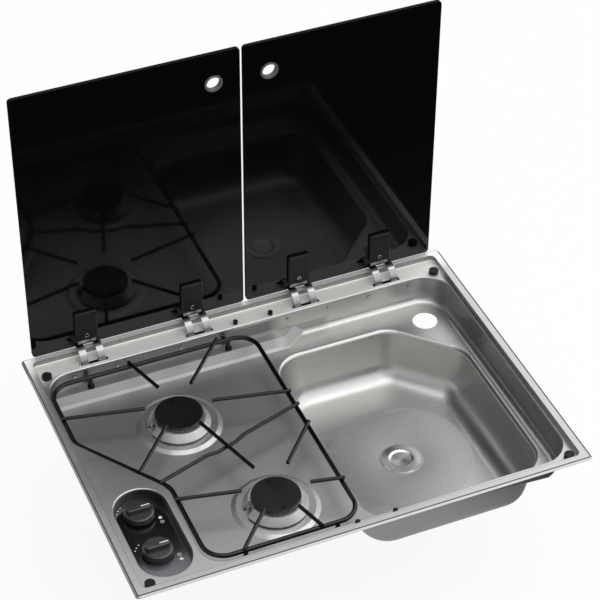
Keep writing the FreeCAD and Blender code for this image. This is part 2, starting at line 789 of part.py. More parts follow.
def burner(name, x, y):
    """One burner: cup, injector, flame ring, cap, thermocouple and spark electrode."""
    flange_top = f"{PLATEAU} + cup_flange_thick"
    ring_top = f"{flange_top} + ring_height"
    cup_low = f"{PLATEAU} - cup_depth"
    cup_foot = f"{cup_low} - cup_taper"
    cup = [
        ("cup_throat", cup_foot),
        ("cup_body", cup_low),
        ("cup_body", PLATEAU),
        ("cup_flange", PLATEAU),
        ("cup_flange", flange_top),
        ("ring_bore", flange_top),
        ("ring_bore", f"{cup_low} + cup_wall"),
        ("injector_seat", f"{cup_foot} + cup_wall"),
        ("injector_seat", cup_foot),
    ]
    ring = [
        ("ring_bore", flange_top),
        ("ring_base", flange_top),
        ("ring_base", f"{flange_top} + ring_edge"),
        ("ring_shoulder", f"{ring_top} - port_depth"),
        ("ring_neck", f"{ring_top} - port_depth"),
        ("ring_neck", ring_top),
        ("ring_bore", ring_top),
    ]

    def notch(which):
        size = ("ring_base", "notch_width", "ring_height * 2")
        corner = (f"{x} - notch_radius - ring_base", f"{y} - notch_width / 2", PLATEAU)
        return box(f"{name}_{which}_notch", size, corner)

    cup_body = turned(f"{name}_cup_turning", cup, x, y)
    node(cut(f"{name}_cup", cup_body, [notch("cup")]), f"{name}_burner_cup")

    ring_body = turned(f"{name}_ring_turning", ring, x, y)
    doc.recompute()
    port = [
        ("ring_neck + port_width", "port_width / 2"),
        ("ring_bore - port_width", "port_width / 2"),
        ("ring_bore - port_width", "-port_width / 2"),
        ("ring_neck + port_width", "-port_width / 2"),
    ]
    first_port = pocket(ring_body, outline(ring_body, "XY_Plane", port, ring_top), "port_depth")
    ports = ring_body.newObject("PartDesign::PolarPattern", f"{name}_ports")
    ports.Originals = [first_port]
    ports.Axis = (first_port.Profile[0], ["N_Axis"])
    ports.Angle = 360
    bind(ports, Occurrences="port_count")
    ring_body.Tip = ports
    node(cut(f"{name}_ring", ring_body, [notch("ring")]), f"{name}_flame_ring")

    cap_top = f"{ring_top} + cap_thick"
    cap = [
        ("0", ring_top),
        ("cap_radius - cap_round", ring_top),
        ("cap_radius", f"{ring_top} + cap_round"),
        ("cap_radius", f"{cap_top} - cap_round"),
        ("cap_radius - cap_round", cap_top),
        ("0", cap_top),
    ]
    seats = []
    screws = []
    for end, sign in (("back", "+"), ("front", "-")):
        seat = (x, f"{y} {sign} cap_screw_pitch", f"{cap_top} - cap_screw")
        seats.append(
            cylinder(f"{name}_seat_{end}", "cap_screw + hole_clearance", "cap_screw * 2", seat)
        )
        screws.append(cylinder(f"{name}_screw_{end}", "cap_screw", "cap_screw * 0.9", seat))
    node(cut(f"{name}_cap", turned(f"{name}_cap_turning", cap, x, y), seats), f"{name}_burner_cap")

    injector = [
        ("0", f"{cup_foot} - injector_length"),
        ("injector_radius", f"{cup_foot} - injector_length"),
        ("injector_radius", cup_foot),
        ("injector_nozzle", cup_foot),
        ("injector_nozzle", f"{cup_foot} + cup_wall"),
        ("0", f"{cup_foot} + cup_wall"),
    ]
    node(turned(f"{name}_injector_turning", injector, x, y), f"{name}_injector")

    low = f"{PLATEAU} - post_below"
    tall = f"{ring_top} - post_top - ({low})"
    sensor_at = (f"{x} - post_radius", f"{y} - post_pitch / 2", low)
    node(cylinder(f"{name}_sensor", "post_size", tall, sensor_at), f"{name}_thermocouple")
    spark_at = (f"{x} - post_radius", f"{y} + post_pitch / 2", low)
    insulator = cylinder(f"{name}_insulator", "post_size", f"{tall} - post_top", spark_at)
    wire = cylinder(f"{name}_spark_wire", "post_size * 0.4", f"{tall} + post_top / 2", spark_at)
    node(fuse(f"{name}_spark", [insulator, wire]), f"{name}_spark_electrode")
    return screws


def control_panel():
    """The glossy panel that lines the knob recess."""
    body = new_body("panel_plate")
    corners = panel_outline("-panel_clearance")
    pad(body, outline(body, "XY_Plane", corners, PANEL_SEAT), "panel_thick")
    rounded(body, upright_at(corners), "panel_corner - panel_clearance")
    necks = [
        cylinder(f"{name}_panel_hole", "tap_neck + cup_clearance", "10", (x, y, f"{PANEL_SEAT} - 5"))
        for name, (x, y) in KNOBS.items()
    ]
    node(cut("panel_holed", body, necks), "control_panel")


def knob(name, x, y):
    """One control: gas tap below the recess, its plug and spindle, and the knob with its pointer."""
    skirt = f"{PANEL_TOP} + knob_lift"
    deck = f"{skirt} + knob_skirt"
    socket = f"{deck} - knob_wall / 2"
    bore = "spindle_radius + hole_clearance / 3"
    section = [
        ("0", socket),
        (bore, socket),
        (bore, f"{skirt} + knob_wall / 2"),
        ("spindle_radius * 2", f"{skirt} + knob_wall / 2"),
        ("spindle_radius * 2", f"{deck} - knob_wall"),
        ("knob_radius - knob_wall", f"{deck} - knob_wall"),
        ("knob_radius - knob_wall", skirt),
        ("knob_radius", skirt),
        ("knob_radius - knob_wall / 3", f"{deck} - knob_wall / 2"),
        ("knob_radius - knob_wall", deck),
        ("0", deck),
    ]
    body = turned(f"{name}_knob_turning", section, x, y)
    doc.recompute()
    grip_top = f"{deck} + knob_grip"
    grip = rectangle("knob_radius - knob_wall * 1.5", "knob_grip_width / 2")
    pad(body, outline(body, "XY_Plane", grip, deck), "knob_grip")
    rounded(body, upright_at(grip), "knob_grip_width * 0.4")
    rounded(body, level(grip_top), "knob_wall / 2")
    inlay = ("pointer_length", "pointer_width", "pointer_depth + pointer_rise")
    corner = (
        f"{x} + knob_radius - knob_wall * 2.2 - pointer_length",
        f"{y} - pointer_width / 2",
        f"{grip_top} - pointer_depth",
    )
    slot = box(f"{name}_pointer_slot", inlay, corner)
    node(cut(f"{name}_knob_cut", body, [slot]), f"{name}_knob")
    node(box(f"{name}_pointer", inlay, corner), f"{name}_knob_pointer")

    top = f"{PANEL_SEAT} - sheet"
    low = f"{top} - tap_body_height"
    size = ("tap_body", "tap_body", "tap_body_height")
    block = box(f"{name}_tap_block", size, (f"{x} - tap_body / 2", f"{y} - tap_body / 2", low))
    neck = cylinder(f"{name}_tap_neck", "tap_neck", "sheet + panel_thick + 0.5", (x, y, top))
    room = "tap_body_height - tap_wall * 2"
    chamber = cylinder(f"{name}_chamber", "plug_radius + running_fit", room, (x, y, f"{low} + tap_wall"))
    guide = cylinder(
        f"{name}_guide",
        "spindle_radius + running_fit",
        "tap_wall * 4",
        (x, y, f"{top} - tap_wall * 2"),
    )
    node(cut(f"{name}_tap", fuse(f"{name}_tap_solid", [block, neck]), [chamber, guide]), f"{name}_gas_tap")

    float_gap = "plug_float"
    plug_at = (x, y, f"{low} + tap_wall + {float_gap}")
    cock = cylinder(f"{name}_cock", "plug_radius", f"{room} - {float_gap} * 2", plug_at)
    through = cylinder(f"{name}_cock_bore", "spindle_radius + running_fit", room, plug_at)
    node(cut(f"{name}_cock_holed", cock, [through]), f"{name}_tap_plug")

    foot = f"{low} + tap_wall + push_room"
    node(
        cylinder(f"{name}_shaft", "spindle_radius", f"{socket} - ({foot})", (x, y, foot)),
        f"{name}_spindle",
    )


def point(x, y, z):
    """A point in space from three bound expressions."""
    return V(number(x), number(y), number(z))


def bent_path(points, bend, closed=False):
    """Edges of straight runs joined by bends of one radius."""
    turns = []
    count = len(points)
    for index, corner in enumerate(points):
        if not closed and index in (0, count - 1):
            turns.append((corner, None, corner))
            continue
        before = (points[index - 1] - corner).normalize()
        after = (points[(index + 1) % count] - corner).normalize()
        half = before.getAngle(after) / 2
        reach = bend / math.tan(half)
        centre = corner + (before + after).normalize() * (bend / math.sin(half))
        middle = centre + (corner - centre).normalize() * bend
        turns.append((corner + before * reach, middle, corner + after * reach))
    edges = []
    for index, (start, middle, end) in enumerate(turns):
        if middle is not None:
            edges.append(Part.Arc(start, middle, end).toShape())
        if closed or index < count - 1:
            edges.append(Part.LineSegment(end, turns[(index + 1) % count][0]).toShape())
    return edges[1:] + edges[:1] if closed else edges


def rod(edges, radius):
    """A round rod swept along a path."""
    first = edges[0]
    start = first.Vertexes[0].Point
    ring = Part.Circle(start, first.tangentAt(first.FirstParameter), radius).toShape()
    return Part.Wire(edges).makePipe(Part.Face(Part.Wire([ring])))


def freeform(name, shape, label):
    """A sub-part whose swept shape is worked out from the sizes."""
    feature = doc.addObject("Part::Feature", name)
    feature.Shape = shape
    node(feature, label)


def gas_pipes():
    """The gas rail under the taps, its inlet, and a feed pipe to each burner."""
    low = f"{PANEL_SEAT} - sheet - tap_body_height"
    length = "knob_front - knob_back + rail_over * 2"
    corner = ("-knob_x - rail_width / 2", "-knob_front - rail_over", f"{low} - rail_height")
    node(box("rail_block", ("rail_width", length, "rail_height"), corner), "gas_rail")

    start = ("-knob_x", "-knob_back + rail_over", f"{low} - rail_height / 2")
    outside = cylinder("inlet_outside", "inlet_radius", "inlet_length", start, TURN_TO_Y)
    inside = cylinder("inlet_inside", "inlet_radius - pipe_wall", "inlet_length", start, TURN_TO_Y)
    node(cut("inlet_pipe", outside, [inside]), "gas_inlet")

    for name, (x, y) in KNOBS.items():
        burner_x, burner_y = BURNERS[name]
        middle = f"{low} + tap_body_height / 2"
        union = f"{PLATEAU} - cup_depth - cup_taper - injector_length"
        run = f"{union} - feed_bend * 1.3"
        away = f"{x} + tap_body / 2 + feed_bend * 1.3"
        path = bent_path(
            [
                point(f"{x} + tap_body / 2", y, middle),
                point(away, y, middle),
                point(away, y, run),
                point(burner_x, burner_y, run),
                point(burner_x, burner_y, union),
            ],
            number("feed_bend"),
        )
        freeform(f"{name}_feed", rod(path, number("feed_radius")), f"{name}_feed_pipe")


def pan_support():
    """The wire pan support: a bent perimeter with welded fingers, a cross bar and four legs."""
    finger_z = number(f"{RIM_TOP} - finger_drop")
    frame_z = finger_z - number("frame_wire + finger_wire - weld_sink")
    thick = number("frame_wire")
    thin = number("finger_wire")
    corners = [
        ("frame_right", "frame_back"),
        ("-frame_left", "frame_back"),
        ("-frame_left", "frame_end"),
        ("-frame_inner", "-frame_bend"),
        ("-frame_inner", "-frame_front"),
        ("frame_right", "-frame_front"),
    ]
    loop = bent_path([V(number(x), number(y), frame_z) for x, y in corners], number("frame_corner"), True)
    rods = [rod(loop, thick)]

    flat_loop = Part.Wire(bent_path([V(number(x), number(y), 0) for x, y in corners],
                                    number("frame_corner"), True))
    over = number("finger_over")
    reach = number("finger_reach")
    centres = {name: V(number(x), number(y), 0) for name, (x, y) in BURNERS.items()}
    up = V(0, 0, finger_z)
    between = (centres["front"] - centres["rear"]).normalize()

    def edge_of_loop(centre, heading):
        """Where a ray from a burner meets the perimeter."""
        ray = Part.LineSegment(centre, centre + heading * number("rim_length")).toShape()
        crossings = [pair[1] for pair in ray.distToShape(flat_loop)[1]]
        return min(crossings, key=lambda spot: (spot - centre).Length)

    for centre, towards in ((centres["rear"], between), (centres["front"], between * -1)):
        for step in range(1, 6):
            heading = FreeCAD.Rotation(V(0, 0, 1), 60 * step).multVec(towards)
            outer = edge_of_loop(centre, heading) + heading * over
            rods.append(rod([Part.LineSegment(centre + heading * reach + up, outer + up).toShape()], thin))
    shared = (centres["rear"] + between * reach + up, centres["front"] - between * reach + up)
    rods.append(rod([Part.LineSegment(*shared).toShape()], thin))

    middle = (centres["rear"] + centres["front"]) * 0.5
    along = FreeCAD.Rotation(V(0, 0, 1), number("bar_turn")).multVec(between)
    right = edge_of_loop(middle, along) + along * over + up
    left = edge_of_loop(middle, along * -1) - along * over + up
    dip = V(0, 0, 2 * thin - number("weld_sink"))
    flat_half = number("bar_flat") / 2
    slope = number("bar_slope")
    bar = [
        left,
        middle + up - along * (flat_half + slope),
        middle + up - along * flat_half - dip,
        middle + up + along * flat_half - dip,
        middle + up + along * (flat_half + slope),
        right,
    ]
    rods.append(rod(bent_path(bar, number("bar_bend")), thin))

    feet = []
    fall = "(well_drop - slope_top) / (well_front - slope_foot)"
    on_slope = f"rim_rise - slope_top - (well_front - frame_front - foot_radius) * {fall}"
    on_step = f"{FLOOR} + step_height"
    wedge = [V(0, number(y), number(z)) for y, z in front_slope("slope_top", "slope_foot", "0")]
    slope = Part.Face(Part.makePolygon([*wedge, wedge[0]])).extrude(V(-number("well_half"), 0, 0))
    socket = V(0, 0, number("foot_height - foot_socket"))
    for x, y, ground, below in (
        ("-foot_back_left", "frame_back", on_step, "0"),
        ("-foot_back_right", "frame_back", on_step, "0"),
        ("-foot_front_left", "-frame_front", on_slope, f"foot_radius * 2 * {fall}"),
        ("-foot_front_right", "-frame_front", on_slope, f"foot_radius * 2 * {fall}"),
    ):
        spot = point(x, y, ground)
        end = spot + socket
        rods.append(Part.makeCylinder(thick, frame_z - end.z, end))
        foot = Part.makeCylinder(
            number("foot_radius"),
            number(f"foot_height + {below}"),
            spot - V(0, 0, number(below)),
        )
        hole = Part.makeCylinder(number("frame_wire + hole_clearance / 3"), number("foot_height"), end)
        feet.append(foot.cut(hole).cut(slope))
    freeform("support_wires", rods[0].multiFuse(rods[1:]), "pan_support")
    freeform("support_rubbers", Part.makeCompound(feet), "pan_support_feet")


def glass_lid(side, left, right, ring_x):
    """One glass lid with the grommet in its finger hole."""
    low = f"{RIM_TOP} + lid_above_rim"
    high = f"{low} + lid_height"
    pane = plate(f"{side}_pane", left, right, low, high, "lid_face", "glass", "lid_corner")
    ring_z = f"{high} - finger_hole_drop"
    start = "lid_face - glass"
    holes = [
        cylinder(f"{side}_finger_hole", "finger_hole", "glass * 3", (ring_x, start, ring_z), TURN_TO_Y)
    ]
    for hinge, (lid, x) in HINGES.items():
        if lid == side:
            spot = (x, start, "hinge_screw_height")
            holes.append(
                cylinder(f"{hinge}_lid_hole", "hinge_screw + cup_clearance", "glass * 3", spot, TURN_TO_Y)
            )
    node(cut(f"{side}_lid", pane, holes), f"{side}_glass_lid")

    back = "glass / 2 + finger_ring_lip"
    neck = "finger_hole - hole_clearance"
    ring = [
        ("finger_ring_bore", f"-({back})"),
        ("finger_ring - finger_ring_lip / 2", f"-({back})"),
        ("finger_ring", "-glass / 2 - finger_ring_lip / 2"),
        ("finger_ring", "-glass / 2"),
        (neck, "-glass / 2"),
        (neck, "glass / 2"),
        ("finger_ring", "glass / 2"),
        ("finger_ring", "glass / 2 + finger_ring_lip / 2"),
        ("finger_ring - finger_ring_lip / 2", back),
        ("finger_ring_bore", back),
    ]
    grommet = turned(f"{side}_grommet", ring, ring_x, "lid_face + glass / 2", ring_z, TURN_TO_Y)
    node(grommet, f"{side}_finger_ring")


def hinge_arm(name, x):
    """A chrome arm: two curved straps from the pin, through the slot, to a leaf on the glass."""
    start = FreeCAD.Rotation(V(1, 0, 0), 90) * TURN_TO_X
    pieces = []
    eyes = []
    for side, inner in (("left", f"{x} - arm_half"), ("right", f"{x} + arm_half - arm_width")):
        axis = (inner, "hinge_y", HINGE_Z)
        curve = cylinder(f"{name}_curve_{side}", "arm_radius + arm_thick / 2", "arm_width", axis, start, 90)
        hollow = cylinder(f"{name}_hollow_{side}", "arm_radius - arm_thick / 2", "arm_width", axis, TURN_TO_X)
        pieces.append(cut(f"{name}_strap_{side}", curve, [hollow]))
        reach = ("arm_width", "lid_face - pad_clearance - hinge_y", "arm_thick")
        pieces.append(
            box(f"{name}_reach_{side}", reach, (inner, "hinge_y", f"{HINGE_Z} + arm_radius - arm_thick / 2"))
        )
        web = ("arm_width", "arm_radius", "arm_thick")
        pieces.append(
            box(f"{name}_web_{side}", web, (inner, "hinge_y - arm_radius", f"{HINGE_Z} - arm_thick / 2"))
        )
        pieces.append(cylinder(f"{name}_eye_{side}", "arm_eye", "arm_width", axis, TURN_TO_X))
        eyes.append(cylinder(f"{name}_bore_{side}", "pin_radius + running_fit", "arm_width", axis, TURN_TO_X))
    leaf_low = f"{HINGE_Z} + arm_radius - arm_thick / 2"
    leaf = ("arm_half * 2", "arm_thick", f"leaf_top - ({leaf_low})")
    leaf_front = "lid_face - pad_clearance - arm_thick"
    pieces.append(
        box(f"{name}_leaf", ("leaf_half * 2", *leaf[1:]), (f"{x} - leaf_half", leaf_front, leaf_low))
    )
    pieces.append(
        box(f"{name}_tie", (leaf[0], "arm_thick", "arm_thick"), (f"{x} - arm_half", leaf_front, leaf_low))
    )
    screw = cylinder(
        f"{name}_leaf_hole",
        "hinge_screw + hole_clearance",
        "arm_thick * 3",
        (x, f"{leaf_front} - arm_thick", "hinge_screw_height"),
        TURN_TO_Y,
    )
    node(cut(f"{name}_arm_bored", fuse(f"{name}_arm_solid", pieces), [*eyes, screw]), f"{name}_hinge_arm")


def hinge_pad(name, x):
    """A black pad that covers the arm's leaf on the front of the glass."""
    front = "lid_face - pad_clearance - pad_thick"
    left, right = f"{x} - pad_half", f"{x} + pad_half"
    body = plate(f"{name}_cover", left, right, "pad_bottom", "pad_top", front, "pad_thick", "pad_round")
    rounded(body, front_edges(front), "pad_chamfer", "PartDesign::Chamfer", "Size")
    room = ("leaf_half * 2 + hole_clearance * 2", "pad_thick", "leaf_top + hole_clearance")
    corner = (
        f"{x} - leaf_half - hole_clearance",
        "lid_face - pad_clearance - arm_thick - hole_clearance",
        "0",
    )
    pocketed = box(f"{name}_leaf_room", room, corner)
    spot = (x, f"{front} - pad_thick", "hinge_screw_height")
    shank = cylinder(f"{name}_pad_hole", "hinge_screw + hole_clearance", "pad_thick * 3", spot, TURN_TO_Y)
    head = cylinder(
        f"{name}_head_room",
        "hinge_screw_head + hole_clearance",
        "pad_thick + hinge_screw_sink",
        spot,
        TURN_TO_Y,
    )
    node(cut(f"{name}_pad_cut", body, [pocketed, shank, head]), f"{name}_hinge_pad")


def hinge_screw(name, x):
    """The screw that clamps the pad, leaf and back plate on the glass."""
    head_at = f"lid_face - pad_clearance - pad_thick + hinge_screw_sink - hinge_screw_head_thick"
    head = cylinder(
        f"{name}_screw_head",
        "hinge_screw_head",
        "hinge_screw_head_thick",
        (x, head_at, "hinge_screw_height"),
        TURN_TO_Y,
    )
    end = "lid_face + glass + pad_clearance + back_thick"
    shank = cylinder(
        f"{name}_screw_shank",
        "hinge_screw",
        f"{end} - ({head_at})",
        (x, head_at, "hinge_screw_height"),
        TURN_TO_Y,
    )
    return fuse(f"{name}_screw", [head, shank])


def hinge_back(name, x):
    """The plate behind the glass that the hinge screw threads into."""
    front = "lid_face + glass + pad_clearance"
    left, right = f"{x} - pad_half", f"{x} + pad_half"
    body = plate(f"{name}_back_plate", left, right, "pad_bottom", "pad_top", front, "back_thick", "pad_round")
    spot = (x, f"{front} - back_thick", "hinge_screw_height")
    radius = "hinge_screw + hole_clearance / 3"
    hole = cylinder(f"{name}_back_hole", radius, "back_thick * 3", spot, TURN_TO_Y)
    return cut(f"{name}_back", body, [hole])


def hinge_bracket(name, x):
    """The bracket behind the well's wall, with two ears that carry the pin."""
    front = "well_back + sheet + bracket_gap"
    top = f"{HINGE_Z} + arm_eye"
    low = f"{top} - bracket_height"
    pieces = [
        box(
            f"{name}_bracket_plate",
            ("bracket_half * 2", "bracket_thick", "bracket_height"),
            (f"{x} - bracket_half", front, low),
        )
    ]
    holes = []
    for side, ear_x in (("left", f"{x} - ear_inner - ear_thick"), ("right", f"{x} + ear_inner")):
        ear = ("ear_thick", f"hinge_y + arm_eye - ({front})", "arm_eye * 3")
        pieces.append(box(f"{name}_ear_{side}", ear, (ear_x, front, f"{top} - arm_eye * 3")))
        holes.append(
            cylinder(
                f"{name}_ear_hole_{side}",
                "pin_radius + hole_clearance / 3",
                "ear_thick",
                (ear_x, "hinge_y", HINGE_Z),
                TURN_TO_X,
            )
        )
    rivets = []
    wall = "well_back - tan(well_draft * 1 deg) * (rim_rise - ledge_drop + rivet_drop + rivet_head)"
    head_back = f"{wall} - hole_clearance / 3"
    tail = f"{front} + bracket_thick"
    for side, sign in (("left", "-"), ("right", "+")):
        spot_x = f"{x} {sign} rivet_half"
        hole_at = (spot_x, f"{front} - bracket_thick", "-rivet_drop")
        holes.append(
            cylinder(
                f"{name}_bracket_hole_{side}",
                "rivet_radius + hole_clearance",
                "bracket_thick * 3",
                hole_at,
                TURN_TO_Y,
            )
        )
        head_at = (spot_x, f"{head_back} - rivet_head_thick", "-rivet_drop")
        tail_at = (spot_x, tail, "-rivet_drop")
        length = f"{tail} - ({head_back}) + rivet_head_thick * 2"
        sections = (
            ("head", "rivet_head", "rivet_head_thick", head_at),
            ("shank", "rivet_radius", length, head_at),
            ("tail", "rivet_head", "rivet_head_thick", tail_at),
        )
        turnings = [
            cylinder(f"{name}_rivet_{part}_{side}", radius, tall, at, TURN_TO_Y)
            for part, radius, tall, at in sections
        ]
        rivets.append(fuse(f"{name}_rivet_solid_{side}", turnings))
    node(cut(f"{name}_bracket", fuse(f"{name}_bracket_solid", pieces), holes), f"{name}_hinge_bracket")
    pin_half = "ear_inner + ear_thick + pin_over"
    pin = cylinder(
        f"{name}_pin",
        "pin_radius",
        f"({pin_half}) * 2",
        (f"{x} - ({pin_half})", "hinge_y", HINGE_Z),
        TURN_TO_X,
    )
    return pin, rivets


def hinges():
    """All four lid hinges, with their fasteners kept in groups."""
    pins = []
    rivets = []
    screws = {"left": [], "right": []}
    backs = {"left": [], "right": []}
    for name, (lid, x) in HINGES.items():
        hinge_arm(name, x)
        hinge_pad(name, x)
        pin, pair = hinge_bracket(name, x)
        pins.append(pin)
        rivets.extend(pair)
        screws[lid].append(hinge_screw(name, x))
        backs[lid].append(hinge_back(name, x))
    node(group("all_hinge_pins", pins), "hinge_pins")
    node(group("all_hinge_rivets", rivets), "hinge_rivets")
    for lid in ("left", "right"):
        node(group(f"{lid}_lid_screws", screws[lid]), f"{lid}_hinge_screws")
        node(group(f"{lid}_lid_backs", backs[lid]), f"{lid}_hinge_backs")


def write_parts():
    """Check every object and write one file for each sub-part."""
    doc.recompute()
    for thing in doc.Objects:
        if "Invalid" in thing.State or "Error" in thing.State:
            raise RuntimeError(f"{thing.Name} failed: {thing.State}")
    os.makedirs("parts", exist_ok=True)
    for part in nodes:
        shape = part.Shape
        if shape.isNull() or not shape.isValid() or not shape.Solids:
            raise RuntimeError(f"{part.Label} has no valid shape")
        shape.exportStep(f"parts/{part.Label}.step")


steel_top()
rim_seal()
buffers()
waste()
cap_screws = []
for burner_name, (burner_x, burner_y) in BURNERS.items():
    cap_screws.extend(burner(burner_name, burner_x, burner_y))
node(group("all_cap_screws", cap_screws), "burner_cap_screws")
control_panel()
for knob_name, (knob_x, knob_y) in KNOBS.items():
    knob(knob_name, knob_x, knob_y)
gas_pipes()
pan_support()
glass_lid("left", "-lid_outer", "lid_split - lid_gap / 2", "lid_split - finger_hole_side")
glass_lid("right", "lid_split + lid_gap / 2", "lid_outer", "lid_split + finger_hole_side")
hinges()
write_parts()
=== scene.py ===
"""Looks of a drop-in hob and sink unit with two glass lids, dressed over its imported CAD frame.

Everything is in metres, +Z up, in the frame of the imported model: the front is -Y, the hob is on
the left and the bowl on the right.
"""
from __future__ import annotations

import json
import logging
import math
from collections.abc import Callable, Sequence
from dataclasses import dataclass, field
from enum import Enum
from functools import cache

import bmesh
import bpy
from mathutils import Euler, Matrix, Vector

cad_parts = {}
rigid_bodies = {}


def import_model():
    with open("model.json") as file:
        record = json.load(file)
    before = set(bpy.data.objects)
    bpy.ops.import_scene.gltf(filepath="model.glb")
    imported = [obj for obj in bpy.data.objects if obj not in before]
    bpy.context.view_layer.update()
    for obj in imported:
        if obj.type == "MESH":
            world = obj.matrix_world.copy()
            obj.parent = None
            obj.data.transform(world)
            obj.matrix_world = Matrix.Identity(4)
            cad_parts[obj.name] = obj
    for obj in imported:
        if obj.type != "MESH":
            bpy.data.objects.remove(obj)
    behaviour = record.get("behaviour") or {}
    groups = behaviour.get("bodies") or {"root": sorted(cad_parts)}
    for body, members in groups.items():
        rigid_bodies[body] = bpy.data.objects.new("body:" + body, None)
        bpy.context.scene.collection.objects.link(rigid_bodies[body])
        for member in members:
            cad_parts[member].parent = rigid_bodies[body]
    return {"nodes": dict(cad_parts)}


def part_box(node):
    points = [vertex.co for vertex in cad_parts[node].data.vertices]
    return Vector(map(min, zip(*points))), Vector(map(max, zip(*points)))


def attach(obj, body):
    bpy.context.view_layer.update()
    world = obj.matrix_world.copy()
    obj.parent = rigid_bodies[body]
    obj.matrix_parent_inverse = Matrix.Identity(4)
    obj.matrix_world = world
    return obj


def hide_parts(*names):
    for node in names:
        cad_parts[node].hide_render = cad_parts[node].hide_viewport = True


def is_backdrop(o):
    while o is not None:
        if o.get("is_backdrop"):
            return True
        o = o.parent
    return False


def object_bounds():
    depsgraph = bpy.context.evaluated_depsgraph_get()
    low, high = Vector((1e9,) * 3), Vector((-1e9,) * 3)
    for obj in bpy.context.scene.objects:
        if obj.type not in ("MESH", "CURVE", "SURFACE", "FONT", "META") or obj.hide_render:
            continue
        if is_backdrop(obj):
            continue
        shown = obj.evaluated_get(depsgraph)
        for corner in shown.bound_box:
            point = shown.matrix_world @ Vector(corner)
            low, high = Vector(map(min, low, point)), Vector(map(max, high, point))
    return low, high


LOG = logging.getLogger("hob_and_sink")
BURNER_NAMES = ("rear", "front")

Colour = tuple[float, float, float]
Socket = bpy.types.NodeSocket
# A ring is its radius, its height and its number of flats.
Ring = tuple[float, float, int]
ROUND = 0
HEXAGON = 6

WHITE = (1.0, 1.0, 1.0, 1.0)
COAT_ROUGHNESS = 0.05
# Edges beyond the first angle are rounded where a piece is softened; beyond the second they stay sharp.
BEVEL_ANGLE = math.radians(40.0)
SHARP_ANGLE = math.radians(35.0)
BEVEL_STEPS = 3


class Effect(Enum):
    """Surface effects that several finishes share, each one node group."""

    BRUSHING = "brushing_lines"
    SPECKLE = "fine_speckle"
    HANDLING = "handling_marks"


class Facing(Enum):
    """Which way a screw head looks, as its tilt from upright in degrees."""

    UP = 0.0
    FRONT = 90.0

    def turn(self) -> Matrix:
        """The rotation that takes a head from looking up to looking this way.

        Returns:
            The rotation about X.
        """
        return Matrix.Rotation(math.radians(self.value), 4, "X")


class Graph:
    """Adds nodes to one node tree and links them."""

    def __init__(self, tree: bpy.types.NodeTree) -> None:
        """Take over a node tree.

        Args:
            tree: The tree of a material, a world or a group.
        """
        self.tree = tree

    def feed(self, socket: Socket, value: object) -> None:
        """Set an input, or link it.

        Args:
            socket: The input.
            value: An output to link, or a plain value.
        """
        if isinstance(value, Socket):
            self.tree.links.new(value, socket)
        else:
            socket.default_value = value

    def add(
        self, kind: str, inputs: dict[str | int, object] | None = None, **settings: object
    ) -> bpy.types.Node:
        """Add a node.

        Args:
            kind: Blender's name of the node type.
            inputs: Values or outputs for its inputs, by name or number.
            **settings: Properties of the node itself.

        Returns:
            The new node.
        """
        node = self.tree.nodes.new(kind)
        for key, value in settings.items():
            setattr(node, key, value)
        for key, value in (inputs or {}).items():
            self.feed(node.inputs[key], value)
        return node

    def number(self, operation: str, *values: object) -> Socket:
        """Arithmetic on numbers.

        Args:
            operation: Blender's name of the operation.
            *values: The numbers or outputs that it takes.

        Returns:
            The result.
        """
        return self.add("ShaderNodeMath", dict(enumerate(values)), operation=operation).outputs[0]

    def vector(self, operation: str, *values: object) -> Socket:
        """Arithmetic on vectors.

        Args:
            operation: Blender's name of the operation.
            *values: The vectors or outputs that it takes.

        Returns:
            The result, a number for a length or a dot product and otherwise a vector.
        """
        node = self.add("ShaderNodeVectorMath", dict(enumerate(values)), operation=operation)
        return node.outputs["Value" if operation in ("LENGTH", "DOT_PRODUCT") else "Vector"]

    def here(self) -> Socket:
        """The place on the object.

        Returns:
            The place in the object's own axes.
        """
        return self.add("ShaderNodeTexCoord").outputs["Object"]

    def axes(self, vector: Socket) -> bpy.types.NodeOutputs:
        """The parts of a vector.

        Args:
            vector: The vector.

        Returns:
            Its parts, by the names X, Y and Z.
        """
        return self.add("ShaderNodeSeparateXYZ", {0: vector}).outputs

    def spread(self, value: Socket, old: tuple[float, float], low: object, high: object) -> Socket:
        """Map a value from one range to another.

        Args:
            value: The value to map.
            old: The range that it comes from.
            low: Where that range's start goes, a number or an output.
            high: Where its end goes.

        Returns:
            The mapped value.
        """
        node = self.add("ShaderNodeMapRange", {"Value": value, "From Min": old[0], "From Max": old[1]})
        self.feed(node.inputs["To Min"], low)
        self.feed(node.inputs["To Max"], high)
        return node.outputs["Result"]

    def noise(self, vector: Socket, scale: object, detail: float) -> Socket:
        """Fractal noise.

        Args:
            vector: Where to read it.
            scale: Its scale per metre, a number or an output.
            detail: How many octaves it has.

        Returns:
            The noise, about 0.5 on average.
        """
        node = self.add("ShaderNodeTexNoise", {"Vector": vector, "Scale": scale, "Detail": detail})
        return node.outputs["Fac"]

    def tinted(self, colour: Colour, tone: Socket) -> Socket:
        """A colour made lighter and darker over the surface.

        Args:
            colour: The colour where the tone is 1.
            tone: The factor on it.

        Returns:
            The varied colour.
        """
        scaled = self.add("ShaderNodeVectorMath", {0: colour}, operation="SCALE")
        self.feed(scaled.inputs["Scale"], tone)
        return scaled.outputs["Vector"]

    def relief(self, height: Socket, depth: float, strength: float) -> Socket:
        """A normal bent by a height.

        Args:
            height: The height over the surface.
            depth: What a height of 1 stands for.
            strength: How much of the bend is used.

        Returns:
            The bent normal.
        """
        bump = self.add("ShaderNodeBump", {"Height": height, "Distance": depth, "Strength": strength})
        return bump.outputs["Normal"]


